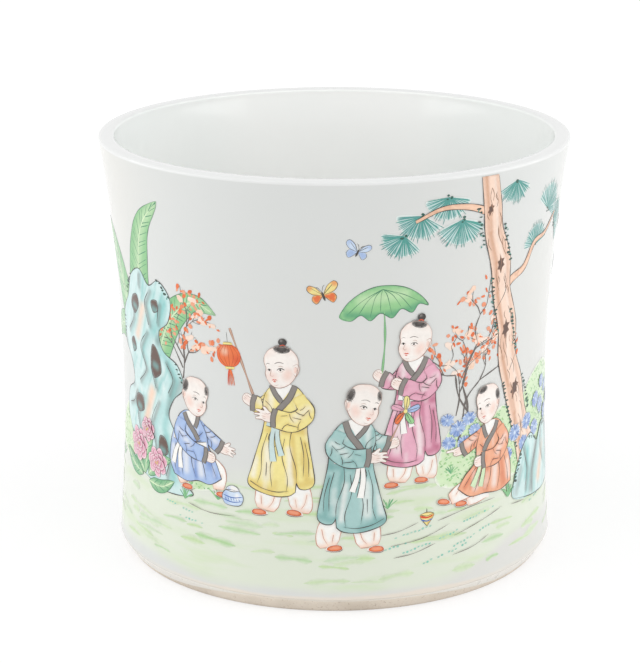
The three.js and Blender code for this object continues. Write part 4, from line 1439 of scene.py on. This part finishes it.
topBoy = Motif("orange_robed_boy", 65, 36, 0.95)
drawBoy(topBoy, "seated", "apricot", "leafPale", (-1.6, 39.6, 6, "fringe"),
        ([(-4, 28.6, 4.2), (-9, 26, 6.0), (-14, 23.8, 6.2)], [[(-7, 26.6), (-9.4, 24)]], (8, "point", 0.95)),
        ([(5.8, 28.6, 4.4), (8.6, 22.6, 6.8), (3.8, 17.6, 7.2), (-3.6, 17.2, 6.8)],
         [[(9.2, 23.4), (6.8, 21)], [(6.6, 18.6), (3.4, 19.4)], [(5.4, 15.8), (1.2, 16.2)]],
         (2, "fist", 1.0)))
drawTop(topBoy, (-31, -4))
drawButterfly(Motif("butterflies", -4, 122, 0.85, 20), "yellow", "orange")
drawButterfly(Motif("butterflies", 8, 138, 0.7, -24, True), "bluePale", "blue")

# Round the back: bamboo, a kite and a drum on one side, a plum tree and a fan on the other
drawBank(Motif("back_green_bank", 176, 44),
         [(-40, -2), (-34, 8), (-20, 14), (-4, 10), (12, 16), (26, 10), (36, -2), (0, -6)], 420)
bamboo = Motif("bamboo_grove", 0, 0)
for stalk in ((150, 44, 156, 2.2, -4, 6), (158, 40, 160, 2.8, 3, 8), (165, 43, 150, 2.0, 8, 6),
              (143, 42, 132, 1.7, -8, 4)):
    drawBamboo(bamboo, *stalk)
drawRock(Motif("bamboo_rock", 146, 32),
         [(-12, 2), (-13, 12), (-8, 24), (0, 30), (8, 26), (14, 18), (22, 20), (29, 12), (31, 3), (18, -1),
          (4, -1)],
         [([(4, 6), (6, 18)], 4.4, "peach", 0.85), ([(14, 17), (11, 9), (12, 2)], 3.4, "shade", 0.527),
          ([(27, 4), (24, 13)], 4.0, "shade", 0.496), ([(-11, 4), (-8, 14)], 3.2, "shade", 0.372),
          ([(-4, 8), (-2, 22)], 3, "rockDeep", 0.7)],
         [[(-8, 23), (-3, 14), (-5, 4)], [(8, 25), (7, 16), (10, 6)], [(22, 19), (20, 11), (23, 3)]],
         moss=[[(-2, 30), (6, 27)], [(-13, 11), (-9, 22)], [(20, 20), (26, 15)]], streaks=34)

kiteBoy = Motif("green_robed_boy", 200, 36, 1.0, flip=True)
drawKite(kiteBoy, (-12, 47), (-20, 92))
drawBoy(kiteBoy, "walking", "leaf", "yellow", (-1.0, 56.8, -8, "topknot"),
        ([(-4.6, 46, 4.4), (-8.6, 44.0, 6.0), (-11.4, 47.6, 6.2)], [[(-6.8, 44), (-9.2, 42.6)]],
         (-50, "fist", 0.95)),
        ([(5.6, 46.4, 4.2), (8.6, 41, 6.6), (4.0, 37.2, 7.2), (-3.0, 39.6, 6.8)],
         [[(9.4, 41.4), (6.8, 39.2)], [(6.4, 38.4), (3.0, 39.2)]], (-20, "fist", 1.0)), 1.5)

drumBoy = Motif("rose_seated_boy", 236, 36, 0.95)
drawBoy(drumBoy, "crouching", "rose", "white", (-1.6, 39.4, 4, "fringe"),
        ([(-3, 28, 4.2), (-8, 25, 6.0), (-12.6, 22.6, 6.2)], [[(-6, 25.4), (-8.6, 22.8)]],
         (10, "fist", 0.95)),
        ([(5.4, 28.4, 4.4), (6.8, 22.4, 6.8), (1.0, 18.4, 7.0), (-6.4, 19.0, 6.6)],
         [[(7.4, 23), (5.0, 20.8)], [(4.4, 18.8), (1.2, 19.6)]], (8, "fist", 1.0)))
drawDrum(drumBoy, (-23, 1))

drawBank(Motif("far_green_bank", -176, 42),
         [(-44, -2), (-36, 10), (-18, 15), (0, 11), (16, 17), (30, 12), (42, -2), (0, -6)], 420)
drawPlumTree(Motif("plum_tree", 0, 0),
             [(-146, 42, 15), (-150, 58, 11), (-158, 74, 9.4), (-158, 92, 8.4), (-168, 110, 7.4),
              (-170, 128, 5.6), (-180, 142, 4.0)],
             [[(-160, 84, 4.2), (-174, 96, 3.2), (-190, 98, 2.2), (-204, 106, 1.3)],
              [(-166, 108, 4.0), (-154, 120, 3.0), (-146, 134, 2.0), (-148, 148, 1.2)],
              [(-171, 130, 3.4), (-188, 138, 2.6), (-204, 136, 1.8), (-216, 142, 1.1)],
              [(-180, 141, 2.6), (-184, 150, 1.8), (-194, 155, 1.1)],
              [(-158, 96, 2.6), (-148, 100, 1.9), (-140, 108, 1.1)],
              [(-190, 98, 1.8), (-196, 90, 1.3), (-206, 88, 0.9)]], 150)
drawRock(Motif("plum_rock", -160, 32),
         [(-14, 1), (-12, 10), (-6, 14), (0, 22), (10, 24), (16, 16), (24, 12), (28, 3), (14, -2), (0, -2)],
         [([(0, 4), (4, 14)], 4.2, "peach", 0.85), ([(15, 15), (12, 8), (14, 1)], 3.2, "shade", 0.527),
          ([(-11, 3), (-8, 10)], 3.0, "shade", 0.434), ([(6, 8), (8, 18)], 3, "rockDeep", 0.7)],
         [[(0, 21), (-2, 12), (1, 3)], [(15, 15), (13, 8), (16, 1)], [(9, 23), (7, 14)]],
         moss=[[(0, 21), (8, 24)], [(-12, 9), (-7, 13.4)]])
drawShrub(Motif("far_orange_shrub", -238, 42),
          [(0, 0, 84, 22, 0.85, 4), (1, 10, 50, 15, 0.55, 3), (0, 12, 124, 14, 0.55, 3)], 150)

fanBoy = Motif("blue_walking_boy", -200, 34, 1.0)
drawFan(fanBoy, (-13, 47.5), (-18, 56), 14)
drawBoy(fanBoy, "walking", "blue", "rose", (-0.8, 56.6, -4, "sides"),
        ([(-4.6, 46, 4.4), (-8.6, 43.4, 6.0), (-12.4, 46.6, 6.2)], [[(-6.8, 43.6), (-9.2, 42)]],
         (-40, "fist", 0.95)),
        ([(5.6, 46.4, 4.2), (9.6, 41, 6.4), (12.6, 35.6, 6.6)], [[(8.6, 44), (6.6, 41)]], (150, "open", 1.0)),
        1.5)
for u, v, size, turn, colours in ((-226, 96, 0.8, 24, ("yellow", "orange")),
                                  (-232, 118, 0.65, -10, ("bluePale", "blue")),
                                  (252, 118, 0.8, 14, ("rose", "yellow"))):
    drawButterfly(Motif("back_butterflies", u, v, size, turn), *colours)
for tuft in ((-232, 38, 1.1), (-222, 31, 0.9), (184, 36, 1.0), (254, 38, 1.1), (216, 32, 0.8)):
    grassTuft(ground, *tuft)
print("drew", len(painted), "strokes and patches")

# The painted pieces

# Each motif becomes thin coats of enamel on the wall. Heights of the coats are in millimetres.
enamel = {"ground": 0.02, "step": 0.01, "edgeDrop": 0.008, "swell": 0.01, "fineLine": 0.36,
          "grain": 700.0, "pools": 90.0}


def onWall(flat, lift):
    turn = flat[:, 0] / canvas["radius"]
    reach = (np.vectorize(outsideRadius)(flat[:, 1]) + lift) * mm
    return np.stack([reach * np.sin(turn), -reach * np.cos(turn), flat[:, 1] * mm], 1)


def gridInside(edge, spacing):
    # evenly set points inside an outline, kept off its edge
    left, low, right, high = boxOf(edge)
    rows = np.arange(low + spacing / 2, high, spacing * 0.87)
    points = np.array([(x + spacing * 0.5 * (k % 2), y) for k, y in enumerate(rows)
                       for x in np.arange(left + spacing / 4, right, spacing)]).reshape(-1, 2)
    ends = np.roll(edge, -1, axis=0)
    x, y = points[:, :1], points[:, 1:]
    crossed = (edge[:, 1] > y) != (ends[:, 1] > y)
    rise = np.where(np.abs(ends[:, 1] - edge[:, 1]) < 1e-9, 1e-9, ends[:, 1] - edge[:, 1])
    before = x < edge[:, 0] + (ends[:, 0] - edge[:, 0]) * (y - edge[:, 1]) / rise
    away = np.hypot(x - edge[:, 0], y - edge[:, 1]).min(axis=1)
    return points[((crossed & before).sum(axis=1) % 2 == 1) & (away > spacing * 0.5)]


def layPatch(patch):
    edge = patch["outline"]
    flat = [Vector(p) for p in (*edge, *gridInside(edge, patch["spacing"]))]
    flat, _, faces, origins, _, _ = geometry.delaunay_2d_cdt(flat, [], [list(range(len(edge)))], 1, 1e-5)
    nearEdge = np.array([0.0 if origin and min(origin) >= len(edge) else 1.0 for origin in origins])
    flat = np.array([tuple(p) for p in flat])
    colours = patchColours(patch, flat[:, 0], flat[:, 1], nearEdge)
    lift = enamel["ground"] + patch["coat"] * enamel["step"] - nearEdge * enamel["edgeDrop"]
    return flat, lift, colours, [tuple(face) for face in faces]


def layStroke(stroke):
    lift = enamel["ground"] + (stroke["coat"] + stroke["lift"]) * enamel["step"]
    left, centre, right = stroke["left"], stroke["centre"], stroke["right"]
    n = len(centre)
    widest = np.hypot(*(left - right).T).max()
    rows = [right, left] if widest < enamel["fineLine"] else [right, centre, left]
    lifts = [lift] * 2 if len(rows) == 2 else [lift, lift + enamel["swell"] * min(widest, 1.0), lift]
    colours = [stroke["colour"]] * 2 if len(rows) == 2 else [stroke["edge"], stroke["colour"], stroke["edge"]]
    faces = [(k * n + i, k * n + i + 1, (k + 1) * n + i + 1, (k + 1) * n + i)
             for k in range(len(rows) - 1) for i in range(n - 1)]
    return np.concatenate(rows), np.repeat(lifts, n), np.repeat(np.array(colours), n, axis=0), faces


def paintMaterial(name, roughness, mottle):
    # the colours ride on the enamel; a fine noise breaks them up
    recipe = Recipe(bpy.data.materials.new(name))
    place = recipe.objectCoords()
    laid = recipe.node("ShaderNodeAttribute", {"attribute_name": "paint"}, {})("Color")
    grain = recipe.noise(enamel["grain"], 3.0, place)
    pooled = recipe.noise(enamel["pools"], 2.0, place)
    level = 1.0 - mottle + mottle * (grain + pooled)
    tone = recipe.node("ShaderNodeCombineColor", {}, {i: level for i in range(3)})("Color")
    recipe.set("Base Color", recipe.mixColours(1.0, laid, tone, "MULTIPLY"))
    recipe.set("Roughness", roughness + 0.08 * grain)
    recipe.bump(pooled + 0.4 * grain, 0.12, 0.0002)
    return recipe.material


enamelPaint = paintMaterial("painted_enamel", 0.13, 0.17)
linePaint = paintMaterial("painted_line", 0.2, 0.06)


def buildPainted(name, items):
    flat, lift, colours, faces, count = [], [], [], [], 0
    for item in items:
        points, raised, tones, polygons = (layPatch if item["kind"] == "patch" else layStroke)(item)
        flat.append(points)
        lift.append(raised)
        colours.append(tones)
        faces.extend(tuple(count + k for k in polygon) for polygon in polygons)
        count += len(points)
    flat, lift, colours = np.concatenate(flat), np.concatenate(lift), np.concatenate(colours)
    mesh = bpy.data.meshes.new(name)
    mesh.from_pydata(onWall(flat, lift).tolist(), [], faces)
    mesh.polygons.foreach_set("use_smooth", [True] * len(faces))
    laid = mesh.color_attributes.new(name="paint", type="FLOAT_COLOR", domain="POINT")
    laid.data.foreach_set("color", np.column_stack([colours, np.ones(count)]).ravel())
    corners = np.zeros(len(mesh.loops), int)
    mesh.loops.foreach_get("vertex_index", corners)
    low, high = flat.min(axis=0), flat.max(axis=0)
    sheet = mesh.uv_layers.new(name="OFBake")
    sheet.data.foreach_set("uv", (0.01 + 0.98 * (flat - low) / (high - low))[corners].ravel())
    piece = bpy.data.objects.new(name, mesh)
    bpy.context.scene.collection.objects.link(piece)
    finishPiece(piece, [], linePaint if name.endswith("_ink") else enamelPaint)
    return len(faces)


byPiece = {}
for item in painted:
    byPiece.setdefault(item["piece"], []).append(item)
faceCount = sum(buildPainted(name, items) for name, items in byPiece.items())
print("laid", len(byPiece), "painted pieces with", faceCount, "faces")

# Studio: a pale room with soft lamps overhead, in front and at both sides. The floor is white in the view,
# and keeps a faint shadow near the foot, cast by the lamps and deepened by a painted shadow in its glow.
studio = {"room": 0.72, "top": 1.8, "key": 1.5, "high": 1.3, "low": 1.5, "bounce": 0.9, "glow": 0.0,
          "shown": 0.34, "nearShadedGlow": 0.68, "farGlow": 0.78, "shadow": (0.12, 0.5)}


def backdropRays(recipe):
    # rays that show the background as it is, and not as a light
    rays = recipe.node("ShaderNodeLightPath", {}, {})
    seen = rays("Is Camera Ray")
    for kind in ("Is Glossy Ray", "Is Transmission Ray"):
        seen = seen.sum("MAXIMUM", seen, rays(kind))
    return seen


roomRecipe = Recipe(bpy.data.worlds.new("pale_room"), "Background")
bpy.context.scene.world = roomRecipe.material
seen = backdropRays(roomRecipe)
roomRecipe.set("Strength", studio["room"] * (1 - seen) + seen)
roomRecipe.set("Color", (1, 1, 1, 1))


def addLamp(name, place, size, energy):
    deselectAll()
    bpy.ops.object.light_add(type="AREA", location=place)
    lamp = bpy.context.active_object
    lamp.name = name
    lamp.data.shape = "RECTANGLE"
    lamp.data.size, lamp.data.size_y = size
    lamp.data.energy = energy
    aim = Vector((0, 0, pot["height"] / 2 * mm)) - lamp.location
    lamp.rotation_euler = aim.to_track_quat("-Z", "Y").to_euler()


addLamp("top_softbox", (0.0, -0.25, 1.25), (1.2, 0.7), studio["top"])
for side, label in ((-1, "left"), (1, "right")):
    addLamp(label + "_key_softbox", (0.85 * side, -0.62, 0.8), (0.9, 0.5), studio["key"])
    addLamp(label + "_softbox", (0.95 * side, 0.05, 0.4), (1.0, 1.1), studio["high"])
    addLamp(label + "_low_softbox", (0.95 * side, -0.15, 0.22), (1.1, 0.4), studio["low"])

deselectAll()
bpy.ops.mesh.primitive_plane_add(size=8, location=(0, 0, 0))
floor = bpy.context.active_object
floor.name = "studio_floor"
floorPaint = Recipe(bpy.data.materials.new("floor_white"))
floorPaint.set("Roughness", 0.9)
floorPaint.set("Specular IOR Level", 0.0)
# painted shadow: the floor's glow in the view is dimmer near the pot and rises further off
place = floorPaint.objectCoords()
fromPot = floorPaint.node("ShaderNodeVectorMath", {"operation": "LENGTH"}, {0: place})("Value")
lift = floorPaint.between(fromPot, *studio["shadow"], studio["nearShadedGlow"], studio["farGlow"])
seen = backdropRays(floorPaint)
grey = floorPaint.node("ShaderNodeCombineColor", {}, {i: lift for i in range(3)})("Color")
bounce, shown, glow = ((studio[name],) * 3 + (1,) for name in ("bounce", "shown", "glow"))
floorPaint.set("Base Color", floorPaint.mixColours(seen, bounce, shown))
floorPaint.set("Emission Color", floorPaint.mixColours(seen, glow, grey))
floorPaint.set("Emission Strength", 1.0)
floor.data.materials.append(floorPaint.material)

# The camera, where the photograph was taken from. The frame is 640 by 663 pixels.
view = {"distance": 890, "aimHeight": 83.2, "down": 0.291, "focalPixels": 2266, "axisPixel": 334.4,
        "wide": 640, "high": 663}
bpy.ops.object.camera_add()
camera = bpy.context.active_object
camera.name = "photo_camera"
camera.location = (0, -view["distance"] * math.cos(view["down"]) * mm,
                   (view["aimHeight"] + view["distance"] * math.sin(view["down"])) * mm)
camera.rotation_euler = (math.pi / 2 - view["down"], 0, 0)
camera.data.sensor_width = 36
camera.data.lens = view["focalPixels"] * camera.data.sensor_width / view["high"]
camera.data.shift_x = (view["wide"] / 2 - view["axisPixel"]) / view["high"]
camera.data.clip_end = 20
bpy.context.scene.camera = camera
bpy.context.scene.view_settings.view_transform = "Standard"
print("placed the lamps and the camera")
